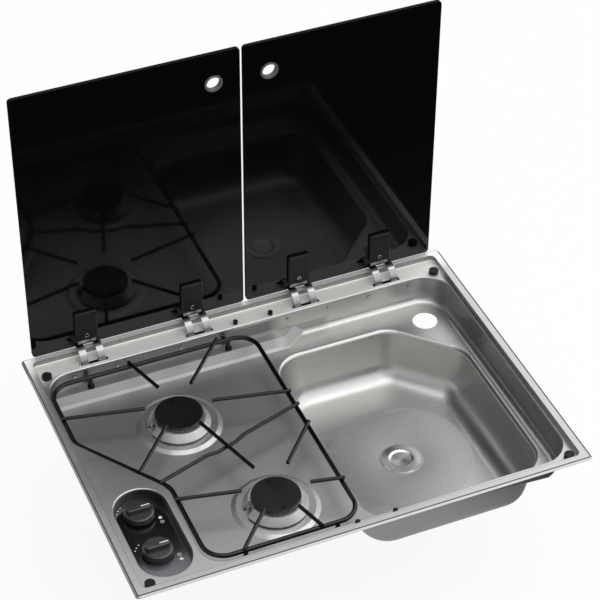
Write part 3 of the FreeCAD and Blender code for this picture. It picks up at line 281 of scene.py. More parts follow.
class EffectShop:
    """Builds each shared effect once, as a shader node group.

    Attributes:
        INPUTS: The inputs of each effect with their usual values.
        OUTPUTS: The outputs of every effect.
        CLOUD_SCALE: Scale of the cloud under the brushing lines.
        CLOUD_SHARE: How much of that cloud is added to the lines.
        PATCH_SCALE: Scale of the patches in which a grain differs in roughness.
    """

    INPUTS = {
        Effect.BRUSHING: {"Along": 8.0, "Across": 1500.0, "Low": 0.3, "High": 0.4},
        Effect.SPECKLE: {"Scale": 2000.0, "Low": 0.4, "High": 0.6},
        Effect.HANDLING: {"Scale": 14.0, "Low": 0.02, "High": 0.06},
    }
    OUTPUTS = ("Roughness", "Tone", "Height")
    CLOUD_SCALE = 7.0
    CLOUD_SHARE = 0.6
    PATCH_SCALE = 30.0

    @classmethod
    def group(cls, effect: Effect) -> bpy.types.NodeTree:
        """The node group of an effect.

        Args:
            effect: Which effect.

        Returns:
            The group, built on first use.
        """
        found = bpy.data.node_groups.get(effect.value)
        if found:
            return found
        tree = bpy.data.node_groups.new(effect.value, "ShaderNodeTree")
        for name, value in cls.INPUTS[effect].items():
            socket = tree.interface.new_socket(name=name, in_out="INPUT", socket_type="NodeSocketFloat")
            socket.default_value = value
        for name in cls.OUTPUTS:
            tree.interface.new_socket(name=name, in_out="OUTPUT", socket_type="NodeSocketFloat")
        graph = Graph(tree)
        given = graph.add("NodeGroupInput").outputs
        wanted = graph.add("NodeGroupOutput").inputs
        where = graph.here()
        makers: dict[Effect, Callable[..., None]] = {
            Effect.BRUSHING: cls._brushing,
            Effect.SPECKLE: cls._speckle,
            Effect.HANDLING: cls._handling,
        }
        makers[effect](graph, given, wanted, where)
        return tree

    @classmethod
    def _brushing(
        cls, graph: Graph, given: bpy.types.NodeOutputs, wanted: bpy.types.NodeInputs, where: Socket
    ) -> None:
        """Long fine lines along X over a faint cloud.

        Args:
            graph: The group's graph.
            given: The group's inputs.
            wanted: The group's outputs.
            where: The place on the object.
        """
        along, across = given["Along"], given["Across"]
        stretch = graph.add("ShaderNodeCombineXYZ", {0: along, 1: across, 2: across}).outputs[0]
        lines = graph.noise(graph.vector("MULTIPLY", where, stretch), 1.0, 3.0)
        cloud = graph.noise(where, cls.CLOUD_SCALE, 2.0)
        both = graph.number("MULTIPLY_ADD", cloud, cls.CLOUD_SHARE, lines)
        graph.feed(wanted["Roughness"], graph.spread(both, (0.55, 1.05), given["Low"], given["High"]))
        graph.feed(wanted["Tone"], graph.spread(lines, (0.25, 0.75), 0.95, 1.04))
        graph.feed(wanted["Height"], lines)

    @classmethod
    def _speckle(
        cls, graph: Graph, given: bpy.types.NodeOutputs, wanted: bpy.types.NodeInputs, where: Socket
    ) -> None:
        """The fine even grain of a cast, coated or moulded surface.

        Args:
            graph: The group's graph.
            given: The group's inputs.
            wanted: The group's outputs.
            where: The place on the object.
        """
        grain = graph.noise(where, given["Scale"], 2.0)
        patch = graph.noise(where, cls.PATCH_SCALE, 2.0)
        graph.feed(wanted["Roughness"], graph.spread(patch, (0.3, 0.7), given["Low"], given["High"]))
        graph.feed(wanted["Tone"], graph.spread(grain, (0.25, 0.75), 0.88, 1.12))
        graph.feed(wanted["Height"], grain)

    @classmethod
    def _handling(
        cls, graph: Graph, given: bpy.types.NodeOutputs, wanted: bpy.types.NodeInputs, where: Socket
    ) -> None:
        """Faint wiped marks on a polished surface.

        Args:
            graph: The group's graph.
            given: The group's inputs.
            wanted: The group's outputs.
            where: The place on the object.
        """
        wiped = graph.noise(where, given["Scale"], 4.0)
        graph.feed(wanted["Roughness"], graph.spread(wiped, (0.35, 0.7), given["Low"], given["High"]))
        graph.feed(wanted["Tone"], graph.spread(wiped, (0.3, 0.7), 0.96, 1.03))
        graph.feed(wanted["Height"], wiped)


@dataclass(frozen=True)
class Finish:
    """A surface finish, made into a material on first use.

    Attributes:
        name: The material's name.
        colour: Its colour.
        rough: The smoothest and roughest it gets.
        metallic: Whether it is bare metal.
        effect: The effect that varies it.
        values: Values for the effect's other inputs.
        depth: The depth of its relief.
        strength: How much of that relief shows.
        coat: Weight of a clear coat.
        level: How strongly its surface mirrors.
        turned: How strongly marks from turning draw its shine out, round the piece's own axis.
    """

    name: str
    colour: Colour
    rough: tuple[float, float]
    metallic: bool = False
    effect: Effect = Effect.SPECKLE
    values: tuple[tuple[str, float], ...] = ()
    depth: float = 0.00002
    strength: float = 0.3
    coat: float = 0.0
    level: float = 0.5
    turned: float = 0.0

    @cache
    def material(self) -> bpy.types.Material:
        """The material of this finish.

        Returns:
            The material, built on first use.
        """
        material = bpy.data.materials.new(self.name)
        material.use_nodes = True
        material.diffuse_color = (*self.colour, 1.0)
        graph = Graph(material.node_tree)
        shader = material.node_tree.nodes["Principled BSDF"]
        worn = graph.add("ShaderNodeGroup", node_tree=EffectShop.group(self.effect))
        for key, value in (("Low", self.rough[0]), ("High", self.rough[1]), *self.values):
            worn.inputs[key].default_value = value
        shader.inputs["Metallic"].default_value = 1.0 if self.metallic else 0.0
        shader.inputs["Coat Roughness"].default_value = COAT_ROUGHNESS
        shader.inputs["Specular IOR Level"].default_value = self.level
        shader.inputs["Anisotropic"].default_value = self.turned
        if self.turned:
            round_axis = graph.add("ShaderNodeTangent", direction_type="RADIAL", axis="Z")
            graph.feed(shader.inputs["Tangent"], round_axis.outputs[0])
        tone = self.toned(graph, worn.outputs["Tone"])
        graph.feed(shader.inputs["Base Color"], graph.tinted(self.colour, tone))
        graph.feed(shader.inputs["Roughness"], self.roughened(graph, worn.outputs["Roughness"]))
        graph.feed(shader.inputs["Coat Weight"], self.coated(graph))
        graph.feed(shader.inputs["Normal"], graph.relief(worn.outputs["Height"], self.depth, self.strength))
        return material

    def toned(self, graph: Graph, tone: Socket) -> Socket:
        """The factor on the colour.

        Args:
            graph: The material's graph.
            tone: The factor that the effect gives.

        Returns:
            The factor to use.
        """
        return tone

    def roughened(self, graph: Graph, rough: Socket) -> Socket:
        """The roughness.

        Args:
            graph: The material's graph.
            rough: The roughness that the effect gives.

        Returns:
            The roughness to use.
        """
        return rough

    def coated(self, graph: Graph) -> object:
        """The weight of the clear coat.

        Args:
            graph: The material's graph.

        Returns:
            The weight, a number or an output.
        """
        return self.coat


@dataclass(frozen=True)
class LidGlass(Finish):
    """Dark glass that mirrors the unit less and less with height.

    Attributes:
        fade: Where the mirroring starts to fade and where it ends.
        faded: The weight of the clear coat above that.
    """

    fade: tuple[float, float] = (0.09, 0.24)
    faded: float = 0.02

    def coated(self, graph: Graph) -> object:
        """The weight of the clear coat, falling with height.

        Args:
            graph: The material's graph.

        Returns:
            The weight.
        """
        return graph.spread(graph.axes(graph.here())["Z"], self.fade, self.coat, self.faded)


@dataclass(frozen=True)
class CreaseShade:
    """A sharp fold that runs round the unit, drawn as a dark line of painted shade on the colour.

    Attributes:
        half: Half its length and half its depth.
        corner: Radius of its corners.
        width: How far the line reaches to either side.
        keep: The factor on the metal's colour in the middle of the line, the depth of the painted shade.
        above: The height above which it shows.
        fade: How far below that height it fades out.
        core: Share of the width that is darkest.
    """

    half: tuple[float, float]
    corner: float
    width: float
    keep: float
    above: float = 0.002
    fade: float = 0.0005
    core: float = 0.4

    def tone(self, graph: Graph, where: Socket) -> Socket:
        """The factor of painted shade that darkens the metal's colour at the fold.

        Args:
            graph: The material's graph.
            where: The place on the object.

        Returns:
            The factor, 1 away from the fold.
        """
        middle = (self.half[0] - self.corner, self.half[1] - self.corner, 1.0)
        past = graph.vector("SUBTRACT", graph.vector("ABSOLUTE", where), middle)
        reach = graph.vector("LENGTH", graph.vector("MAXIMUM", past, (0.0, 0.0, 0.0)))
        away = graph.number("ABSOLUTE", graph.number("SUBTRACT", reach, self.corner))
        height = graph.axes(where)["Z"]
        dark = graph.spread(height, (self.above - self.fade, self.above), 1.0, self.keep)
        return graph.spread(away, (self.width * self.core, self.width), dark, 1.0)


@dataclass(frozen=True)
class PaintedLightZone:
    """A part of a piece with painted light or painted shade on its colour, set by its factor, and a roughness
    of its own.

    Attributes:
        low: Its lowest corner.
        high: Its highest corner.
        shade: The factor on its colour, above 1 for painted light and below 1 for painted shade.
        rough: Its roughness.
        blend: How far the change to it reaches along each axis.
    """

    low: tuple[float, float, float]
    high: tuple[float, float, float]
    shade: float
    rough: float
    blend: tuple[float, float, float] = (0.02, 0.02, 0.0006)

    def share(self, graph: Graph, where: Socket) -> Socket:
        """How much a place belongs to this part.

        Args:
            graph: The material's graph.
            where: The place on the object.

        Returns:
            1 well inside it and 0 outside.
        """
        low, high = Vector(self.low), Vector(self.high)
        away = graph.vector("ABSOLUTE", graph.vector("SUBTRACT", where, (low + high) / 2.0))
        past = graph.vector("SUBTRACT", away, (high - low) / 2.0)
        axes = graph.axes(graph.vector("DIVIDE", past, self.blend))
        most = graph.number("MAXIMUM", graph.number("MAXIMUM", axes["X"], axes["Y"]), axes["Z"])
        return graph.spread(most, (-1.0, 0.0), 1.0, 0.0)


@dataclass(frozen=True)
class PaintedLightFinish(Finish):
    """A finish with painted shade along folds and painted light and shade from zone to zone, where the zones
    also have a roughness of their own.

    Attributes:
        crease_shades: The folds, drawn as lines of painted shade.
        light_zones: The parts with painted light and shade on their colour and a roughness of their own.
    """

    crease_shades: tuple[CreaseShade, ...] = ()
    light_zones: tuple[PaintedLightZone, ...] = ()

    def toned(self, graph: Graph, tone: Socket) -> Socket:
        """The factor on the colour, with painted shade in the folds and the painted light and shade of each
        zone.

        Args:
            graph: The material's graph.
            tone: The factor that the effect gives.

        Returns:
            The factor to use.
        """
        where = graph.here()
        factors = [shade_line.tone(graph, where) for shade_line in self.crease_shades]
        for zone in self.light_zones:
            factors.append(graph.spread(zone.share(graph, where), (0.0, 1.0), 1.0, zone.shade))
        for factor in factors:
            tone = graph.number("MULTIPLY", tone, factor)
        return tone

    def roughened(self, graph: Graph, rough: Socket) -> Socket:
        """The roughness, with the zones' own.

        Args:
            graph: The material's graph.
            rough: The roughness that the effect gives.

        Returns:
            The roughness to use.
        """
        where = graph.here()
        for zone in self.light_zones:
            rough = graph.spread(zone.share(graph, where), (0.0, 1.0), rough, zone.rough)
        return rough


SATIN_STEEL = PaintedLightFinish(
    "satin_steel",
    (0.60, 0.595, 0.585),
    (0.30, 0.40),
    metallic=True,
    effect=Effect.BRUSHING,
    values=(("Along", 9.0), ("Across", 1600.0)),
    depth=0.00001,
    strength=0.12,
    crease_shades=(
        # Painted shade lines where the rim turns down, and where the recess of the lids begins.
        CreaseShade((0.2972, 0.2197), 0.0022, 0.0009, 0.12),
        CreaseShade((0.2880, 0.2115), 0.0070, 0.0006, 0.40),
    ),
    light_zones=(
        # Painted light on the ledge at the back, painted shade on the recess wall above it and painted light
        # on the rim behind that, each with a roughness of its own.
        PaintedLightZone((-0.32, 0.166, -0.0062), (0.32, 0.26, -0.0040), 1.64, 0.74),
        PaintedLightZone((-0.32, 0.180, -0.0040), (0.32, 0.26, 0.0024), 0.44, 0.42),
        PaintedLightZone((-0.32, 0.180, 0.0022), (0.32, 0.26, 0.0040), 1.58, 0.66),
        # Painted shade on the hob's floor, the wall behind it, the upper part of the step and the step's end,
        # each with a roughness of its own.
        PaintedLightZone((-0.30, -0.17, -0.0460), (0.03, 0.17, -0.0400), 0.90, 0.42),
        PaintedLightZone((-0.31, 0.150, -0.0275), (0.05, 0.21, -0.0080), 0.46, 0.34, (0.02, 0.005, 0.003)),
        PaintedLightZone((-0.31, 0.150, -0.0400), (0.05, 0.19, -0.0275), 0.66, 0.40, (0.02, 0.005, 0.0015)),
        PaintedLightZone((0.04, 0.145, -0.0425), (0.12, 0.20, -0.0265), 0.74, 0.42, (0.01, 0.005, 0.002)),
        # Painted shade on the well's right wall and on the walls of the knob recess.
        PaintedLightZone((0.25, -0.22, -0.0410), (0.31, 0.19, -0.0066), 0.72, 0.36),
        PaintedLightZone((-0.284, -0.204, -0.0230), (-0.204, -0.042, -0.0075), 0.34, 0.30, (0.004, 0.004, 0.003)),
    ),
)
POLISHED_STEEL = Finish(
    "waste_polish",
    (0.70, 0.695, 0.69),
    (0.20, 0.28),
    metallic=True,
    effect=Effect.HANDLING,
    strength=0.02,
    turned=0.85,
)
CHROME = Finish(
    "bright_chrome", (0.35, 0.355, 0.36), (0.06, 0.14), metallic=True, effect=Effect.HANDLING, strength=0.02
)
BLACK_PASSIVATE = Finish(
    "black_passivate",
    (0.03, 0.03, 0.032),
    (0.40, 0.52),
    metallic=True,
    values=(("Scale", 900.0),),
    depth=0.00001,
)
ZINC_PLATE = Finish(
    "zinc_plate", (0.56, 0.57, 0.58), (0.32, 0.46), metallic=True, values=(("Scale", 900.0),), depth=0.00001
)
CAST_ALUMINIUM = Finish(
    "cast_aluminium", (0.74, 0.74, 0.745), (0.36, 0.48), metallic=True, values=(("Scale", 2600.0),)
)
DRAWN_ALUMINIUM = Finish(
    "drawn_aluminium",
    (0.66, 0.66, 0.67),
    (0.24, 0.34),
    metallic=True,
    values=(("Scale", 1400.0),),
    depth=0.00001,
)
BRASS = Finish(
    "turned_brass",
    (0.72, 0.50, 0.20),
    (0.20, 0.34),
    metallic=True,
    values=(("Scale", 1200.0),),
    depth=0.00001,
)
CAP_ENAMEL = Finish("cap_enamel", (0.008, 0.008, 0.009), (0.24, 0.32), values=(("Scale", 3200.0),))
WIRE_ENAMEL = Finish(
    "wire_enamel",
    (0.003, 0.003, 0.004),
    (0.10, 0.16),
    values=(("Scale", 1500.0),),
    strength=0.12,
    level=0.42,
)
PANEL_GLOSS = PaintedLightFinish(
    "panel_gloss",
    (0.006, 0.006, 0.007),
    (0.14, 0.20),
    effect=Effect.HANDLING,
    strength=0.01,
    coat=1.0,
    level=0.8,
    # The front end of the panel is painted much lighter: a painted reflection.
    light_zones=(PaintedLightZone((-0.30, -0.24, -0.03), (-0.19, -0.148, -0.01), 27.0, 0.30, (0.02, 0.042, 0.002)),),
)
KNOB_GLOSS = Finish(
    "knob_gloss",
    (0.016, 0.016, 0.017),
    (0.24, 0.34),
    values=(("Scale", 2400.0),),
    depth=0.00001,
    strength=0.1,
    level=1.0,
)
PAD_PLASTIC = Finish(
    "pad_plastic",
    (0.006, 0.006, 0.007),
    (0.28, 0.38),
    values=(("Scale", 2600.0),),
    strength=0.2,
    level=0.3,
)
WHITE_PLASTIC = Finish(
    "moulded_white", (0.80, 0.80, 0.79), (0.34, 0.48), values=(("Scale", 1500.0),), strength=0.15
)
DIAL_INK = Finish("dial_ink", (0.86, 0.86, 0.86), (0.45, 0.6), values=(("Scale", 5000.0),), strength=0.1)
CERAMIC = Finish(
    "white_ceramic",
    (0.42, 0.41, 0.38),
    (0.25, 0.40),
    values=(("Scale", 1800.0),),
    depth=0.00001,
    strength=0.15,
)
BLACK_RUBBER = Finish(
    "buffer_rubber",
    (0.008, 0.008, 0.009),
    (0.45, 0.60),
    values=(("Scale", 1900.0),),
    depth=0.00003,
    strength=0.4,
    level=0.25,
)
GREY_RUBBER = Finish(
    "ring_rubber",
    (0.10, 0.10, 0.102),
    (0.42, 0.56),
    values=(("Scale", 1900.0),),
    depth=0.00003,
    strength=0.25,
)
BLACK_GLASS = LidGlass(
    "lid_glass",
    (0.0020, 0.0020, 0.0022),
    (0.05, 0.09),
    effect=Effect.HANDLING,
    strength=0.0,
    coat=0.65,
    level=0.04,
)
GROUND_EDGE = Finish(
    "ground_edge", (0.34, 0.34, 0.35), (0.18, 0.30), metallic=True, values=(("Scale", 3000.0),)
)


def settle(name: str, mesh: bmesh.types.BMesh) -> bpy.types.Mesh:
    """Turn a mesh under work into mesh data.

    Args:
        name: The data's name.
        mesh: The mesh, which is used up.

    Returns:
        The data.
    """
    data = bpy.data.meshes.new(name)
    mesh.to_mesh(data)
    mesh.free()
    return data


def put(name: str, data: bpy.types.ID) -> bpy.types.Object:
    """Put data in the scene as an object.

    Args:
        name: The object's name.
        data: Its mesh, light or camera.

    Returns:
        The object.
    """
    thing = bpy.data.objects.new(name, data)
    bpy.context.scene.collection.objects.link(thing)
    return thing


@dataclass
class Assembly:
    """A sub-assembly of the unit.

    Attributes:
        nodes: The CAD nodes by name.
        body: The CAD body of the pieces that stay put.
    """

    nodes: dict[str, bpy.types.Object]
    body: str = "hob_and_sink"

    def build(self) -> None:
        """Make the pieces that the CAD nodes lack. Most sub-assemblies need none."""

    def dress(self) -> None:
        """Give every CAD node its finish."""
        raise NotImplementedError

    def coat(self, finish: Finish, *names: str) -> None:
        """Give CAD nodes a finish.

        Args:
            finish: The finish.
            *names: The nodes.
        """
        for name in names:
            for place in self.nodes[name].material_slots:
                place.material = finish.material()
            LOG.info("%s: %s", name, finish.name)

    def soften(self, width: float, *names: str, edge: Finish | None = None) -> None:
        """Round the sharp edges of CAD nodes as a moulding or a ground pane has them.

        Args:
            width: The width of the rounding.
            *names: The nodes.
            edge: The finish of the rounding, if it has its own.
        """
        for name in names:
            bevel = self.nodes[name].modifiers.new("soft_edges", "BEVEL")
            if edge:
                self.nodes[name].data.materials.append(edge.material())
                bevel.material = len(self.nodes[name].material_slots) - 1
            bevel.width = width
            bevel.segments = BEVEL_STEPS
            bevel.limit_method = "ANGLE"
            bevel.angle_limit = BEVEL_ANGLE
            bevel.harden_normals = True

    def add(
        self, name: str, mesh: bmesh.types.BMesh, finishes: Sequence[Finish], body: str, slot: str
    ) -> bpy.types.Object:
        """Put a new piece in the scene.

        Args:
            name: The piece's name.
            mesh: Its mesh, which is used up.
            finishes: Its finish, and the dark one inside its sockets if it has any, painted shade in the
                recess.
            body: The CAD body that it rides on.
            slot: The record's material slot that its finish belongs to; not used.

        Returns:
            The piece.
        """
        data = settle(name, mesh)
        data.shade_smooth()
        data.set_sharp_from_angle(angle=SHARP_ANGLE)
        piece = put(name, data)
        for finish in finishes:
            data.materials.append(finish.material())
        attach(piece, body)
        LOG.info("%s: %s, new piece", name, finishes[0].name)
        return piece


def add_ring(mesh: bmesh.types.BMesh, ring: Ring, place: Matrix, steps: int) -> list[bmesh.types.BMVert]:
    """Add the points of one ring.

    Args:
        mesh: The mesh to add to.
        ring: The ring's radius, height and number of flats.
        place: Where its axis goes.
        steps: How many points it has.

    Returns:
        The points in order.
    """
    radius, height, flats = ring
    points = []
    for step in range(steps):
        angle = 2.0 * math.pi * step / steps
        reach = radius
        if flats != ROUND:
            part = 2.0 * math.pi / flats
            reach = radius * math.cos(part / 2.0) / math.cos(angle % part - part / 2.0)
        point = Vector((reach * math.cos(angle), reach * math.sin(angle), height))
        points.append(mesh.verts.new(place @ point))
    return points


def add_band(
    mesh: bmesh.types.BMesh, low: list[bmesh.types.BMVert], high: list[bmesh.types.BMVert], finish: int = 0
) -> None:
    """Join two rings by a band of faces.

    Args:
        mesh: The mesh to add to.
        low: The points of the first ring.
        high: The points of the second.
        finish: The number of the faces' finish.
    """
    for step in range(len(low)):
        after = (step + 1) % len(low)
        face = mesh.faces.new((low[step], low[after], high[after], high[step]))
        face.material_index = finish


def lathe(
    mesh: bmesh.types.BMesh, rings: Sequence[Ring], place: Matrix, steps: int = 48, socket: int | None = None
) -> None:
    """Add a turned form, in which single rings may be polygons, such as a hexagon socket.

    Args:
        mesh: The mesh to add to.
        rings: Radius, height and number of flats of each ring, from one end to the other.
        place: Where the form's axis goes.
        steps: How many points a ring has.
        socket: The ring from which on the form is a socket, in the second finish.
    """
    loops = [add_ring(mesh, ring, place, steps) for ring in rings]
    for number, (low, high) in enumerate(zip(loops, loops[1:])):
        add_band(mesh, low, high, int(socket is not None and number >= socket))
    mesh.faces.new(list(reversed(loops[0])))
    mesh.faces.new(loops[-1]).material_index = int(socket is not None)


@dataclass
class SteelTop(Assembly):
    """The pressed top with its seal and rubber buffers.

    Attributes:
        buffer_round: Width of the rounding on the buffers' edges.
    """

    buffer_round: float = 0.0008

    def dress(self) -> None:
        """Finish the sheet and its rubber pieces."""
        self.coat(SATIN_STEEL, "steel_top")
        self.coat(BLACK_RUBBER, "rim_seal", "corner_buffers", "centre_buffers")
        self.soften(self.buffer_round, "corner_buffers", "centre_buffers")


@dataclass
class PanSupport(Assembly):
    """The wire pan support and its feet."""

    def dress(self) -> None:
        """Finish the wires and the feet."""
        self.coat(WIRE_ENAMEL, "pan_support")
        self.coat(BLACK_RUBBER, "pan_support_feet")


@dataclass
class Burners(Assembly):
    """Both burners.

    Attributes:
        names: The burners.
        screw_pitch: Distance of a cap screw from the burner's middle.
        screw_radius: Radius of a cap screw.
        head_round: How much of its height is rounded.
        head_top: Share of its radius that is left at the top.
        socket: Share of its radius that its socket takes.
        socket_floor: Height of the socket's floor as a share of the screw's.
    """

    names: tuple[str, ...] = BURNER_NAMES
    screw_pitch: float = 0.024
    screw_radius: float = 0.002
    head_round: float = 0.45
    head_top: float = 0.82
    socket: float = 0.55
    socket_floor: float = 0.35

    def build(self) -> None:
        """Make the cap screws with their sockets."""
        mesh = bmesh.new()
        low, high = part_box("burner_cap_screws")
        height = high.z - low.z
        radius = self.screw_radius
        rings = [
            (radius, 0.0, ROUND),
            (radius, height * (1.0 - self.head_round), ROUND),
            (radius * self.head_top, height, ROUND),
            (radius * self.socket, height, HEXAGON),
            (radius * self.socket, height * self.socket_floor, HEXAGON),
        ]
        for name in self.names:
            cap_low, cap_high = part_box(f"{name}_burner_cap")
            centre = (cap_low + cap_high) / 2.0
            for side in (-1.0, 1.0):
                spot = (centre.x, centre.y + side * self.screw_pitch, low.z)
                lathe(mesh, rings, Matrix.Translation(spot) @ Facing.UP.turn())
        piece = self.add("burner_cap_screw_heads", mesh, (BLACK_PASSIVATE,), self.body, "chrome")
        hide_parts("burner_cap_screws")

    def dress(self) -> None:
        """Finish every piece of both burners."""
        for name in self.names:
            self.coat(CAST_ALUMINIUM, f"{name}_burner_cup", f"{name}_flame_ring")
            self.coat(CAP_ENAMEL, f"{name}_burner_cap")
            self.coat(BRASS, f"{name}_injector")
            self.coat(CHROME, f"{name}_thermocouple")
            self.coat(CERAMIC, f"{name}_spark_electrode")


@dataclass
class Controls(Assembly):
    """The knob panel with both knobs, their gas taps and the dial marks.

    Attributes:
        names: The knobs, each by its burner.
        dot_radius: Radius of a dial dot.
        dot_reach: Distance of the dots from the knob's axis.
        dot_angles: Where the dots stand round the knob, in degrees.
        dot_steps: How many points a dot's outline has.
        sign_at: The burner sign's place from the knob's axis.
        sign_pitch: Distance between the sign's two rings.
        sign_radius: Outer radius of a ring.
        sign_hole: Share of that radius that an open ring leaves free.
        sign_steps: How many points a ring's outline has.
        ink: Thickness of the print.
    """

    names: tuple[str, ...] = BURNER_NAMES
    dot_radius: float = 0.00085
    dot_reach: float = 0.0278
    dot_angles: tuple[float, ...] = (127.0, 138.0, 149.0)
    dot_steps: int = 20
    sign_at: tuple[float, float] = (0.0232, -0.0145)
    sign_pitch: float = 0.0074
    sign_radius: float = 0.0023
    sign_hole: float = 0.68
    sign_steps: int = 28
    ink: float = 0.00012

    def build(self) -> None:
        """Print the dots and the burner signs on the panel."""
        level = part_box("control_panel")[1].z
        dot = [(self.dot_radius, 0.0, ROUND), (self.dot_radius, self.ink, ROUND)]
        for name in self.names:
            low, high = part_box(f"{name}_spindle")
            axis = Vector(((low.x + high.x) / 2.0, (low.y + high.y) / 2.0, level))
            mesh = bmesh.new()
            for angle in self.dot_angles:
                turn = math.radians(angle)
                spot = axis + Vector((math.cos(turn), math.sin(turn), 0.0)) * self.dot_reach
                lathe(mesh, dot, Matrix.Translation(spot), self.dot_steps)
            for other, offset in (("rear", 0.5), ("front", -0.5)):
                spot = axis + Vector((*self.sign_at, 0.0)) + Vector((0.0, offset * self.sign_pitch, 0.0))
                self._burner_sign(mesh, spot, other == name)
            self.add(f"{name}_dial_marks", mesh, (DIAL_INK,), self.body, "white_plastic")

    def _burner_sign(self, mesh: bmesh.types.BMesh, spot: Vector, filled: bool) -> None:
        """Print one ring of a burner sign.

        Args:
            mesh: The mesh to add to.
            spot: The ring's centre.
            filled: Whether the ring is filled in.
        """
        place = Matrix.Translation(spot)
        outside = [(self.sign_radius, 0.0, ROUND), (self.sign_radius, self.ink, ROUND)]
        if filled:
            lathe(mesh, outside, place, self.sign_steps)
            return
        hole = self.sign_radius * self.sign_hole
        inside = [(hole, self.ink, ROUND), (hole, 0.0, ROUND)]
        edges = [add_ring(mesh, ring, place, self.sign_steps) for ring in outside + inside]
        for first, second in zip(edges, edges[1:] + edges[:1]):
            add_band(mesh, first, second)

    def dress(self) -> None:
        """Finish the panel, the knobs and the taps below."""
        self.coat(PANEL_GLOSS, "control_panel")
        for name in self.names:
            self.coat(KNOB_GLOSS, f"{name}_knob")
            self.coat(WHITE_PLASTIC, f"{name}_knob_pointer")
            self.coat(ZINC_PLATE, f"{name}_spindle")
            self.coat(BRASS, f"{name}_gas_tap", f"{name}_tap_plug")


@dataclass
class Pipework(Assembly):
    """The gas rail, the inlet and the feed pipes."""

    def dress(self) -> None:
        """Finish the rail and the pipes."""
        self.coat(ZINC_PLATE, "gas_rail", "gas_inlet")
        self.coat(DRAWN_ALUMINIUM, "rear_feed_pipe", "front_feed_pipe")


@dataclass
class Waste(Assembly):
    """The bowl's waste: flange, plug and the body below."""

    def dress(self) -> None:
        """Finish the bright pieces and the moulded body."""
        self.coat(POLISHED_STEEL, "waste_flange", "sink_plug")
        self.coat(WHITE_PLASTIC, "waste_body")


@dataclass
class Lids(Assembly):
    """Both glass lids with their finger rings.

    Attributes:
        sides: The lids.
        edge: Width of the ground edge of the glass.
    """

    sides: tuple[str, ...] = ("left", "right")
    edge: float = 0.0006

    def dress(self) -> None:
        """Finish the panes and the rings."""
        for side in self.sides:
            self.coat(BLACK_GLASS, f"{side}_glass_lid")
            self.soften(self.edge, f"{side}_glass_lid", edge=GROUND_EDGE)
            self.coat(GREY_RUBBER, f"{side}_finger_ring")


@dataclass
class Hinges(Assembly):
    """The four lid hinges with their fasteners.

    Attributes:
        names: The hinges by lid.
        head_radius: Radius of a screw head.
        head_height: Its height.
        head_round: How much of its height is rounded.
        head_top: Share of its radius that is left at the top.
        shank_radius: Radius of the screw below its head.
        socket: Share of the head's radius that its socket takes.
        socket_depth: Share of the head's height that its socket takes.
        shade_sheet: Width, reach and thickness of the black sheet below the slot, painted shade that keeps
            the slot dark.
        shade_sheet_drop: How far it lies below the bracket's top.
    """

    names: dict[str, tuple[str, str]] = field(
        default_factory=lambda: {
            "left": ("left_outer", "left_inner"),
            "right": ("right_inner", "right_outer"),
        }
    )
    head_radius: float = 0.0032
    head_height: float = 0.0018
    head_round: float = 0.25
    head_top: float = 0.88
    shank_radius: float = 0.002
    socket: float = 0.56
    socket_depth: float = 0.8
    shade_sheet: tuple[float, float, float] = (0.0126, 0.0130, 0.0006)
    shade_sheet_drop: float = 0.0013

    def build(self) -> None:
        """Make the black sheets that close the slots from below as painted shade, and the socket screws of
        both lids.
        """
        self._shade_sheets()
        for lid, pair in self.names.items():
            self._screws(lid, pair)

    def _shade_sheets(self) -> None:
        """Make the black sheets under the slots of all four brackets, painted shade that keeps the slots
        dark.
        """
        shade_sheets = bmesh.new()
        for hinge in (name for pair in self.names.values() for name in pair):
            low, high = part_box(f"{hinge}_hinge_bracket")
            middle = ((low.x + high.x) / 2.0, low.y + self.shade_sheet[1] / 2.0, high.z - self.shade_sheet_drop)
            place = Matrix.Translation(middle) @ Matrix.Diagonal((*self.shade_sheet, 1.0))
            bmesh.ops.create_cube(shade_sheets, size=1.0, matrix=place)
        self.add("hinge_slot_shade_sheets", shade_sheets, (BLACK_PASSIVATE,), self.body, "zinc_steel")

    def _screws(self, lid: str, pair: tuple[str, str]) -> None:
        """Make the socket screws of one lid.

        Args:
            lid: The lid.
            pair: Its hinges.
        """
        low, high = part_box(f"{lid}_hinge_screws")
        head = [
            (self.shank_radius, low.y - high.y, ROUND),
            (self.shank_radius, -self.head_height, ROUND),
            (self.head_radius, -self.head_height, ROUND),
            (self.head_radius, -self.head_height * self.head_round, ROUND),
            (self.head_radius * self.head_top, 0.0, ROUND),
        ]
        hole = [
            (self.head_radius * self.socket, 0.0, HEXAGON),
            (self.head_radius * self.socket, -self.head_height * self.socket_depth, HEXAGON),
        ]
        mesh = bmesh.new()
        for hinge in pair:
            pad_low, pad_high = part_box(f"{hinge}_hinge_pad")
            spot = ((pad_low.x + pad_high.x) / 2.0, low.y, (low.z + high.z) / 2.0)
            place = Matrix.Translation(spot) @ Facing.FRONT.turn()
            lathe(mesh, head + hole, place, socket=len(head))
        # The sockets are black inside: painted shade in the recesses of the chrome heads.
        piece = self.add(f"{lid}_socket_screws", mesh, (CHROME, BLACK_PASSIVATE), f"{lid}_lid", "chrome")
        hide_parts(f"{lid}_hinge_screws")

    def dress(self) -> None:
        """Finish the arms, pads, plates and fasteners."""
        for lid, pair in self.names.items():
            self.coat(PAD_PLASTIC, f"{lid}_hinge_backs")
            for hinge in pair:
                self.coat(CHROME, f"{hinge}_hinge_arm")
                self.coat(PAD_PLASTIC, f"{hinge}_hinge_pad")
                self.coat(BLACK_PASSIVATE, f"{hinge}_hinge_bracket")
        self.coat(CHROME, "hinge_rivets")
        self.coat(BLACK_PASSIVATE, "hinge_pins")


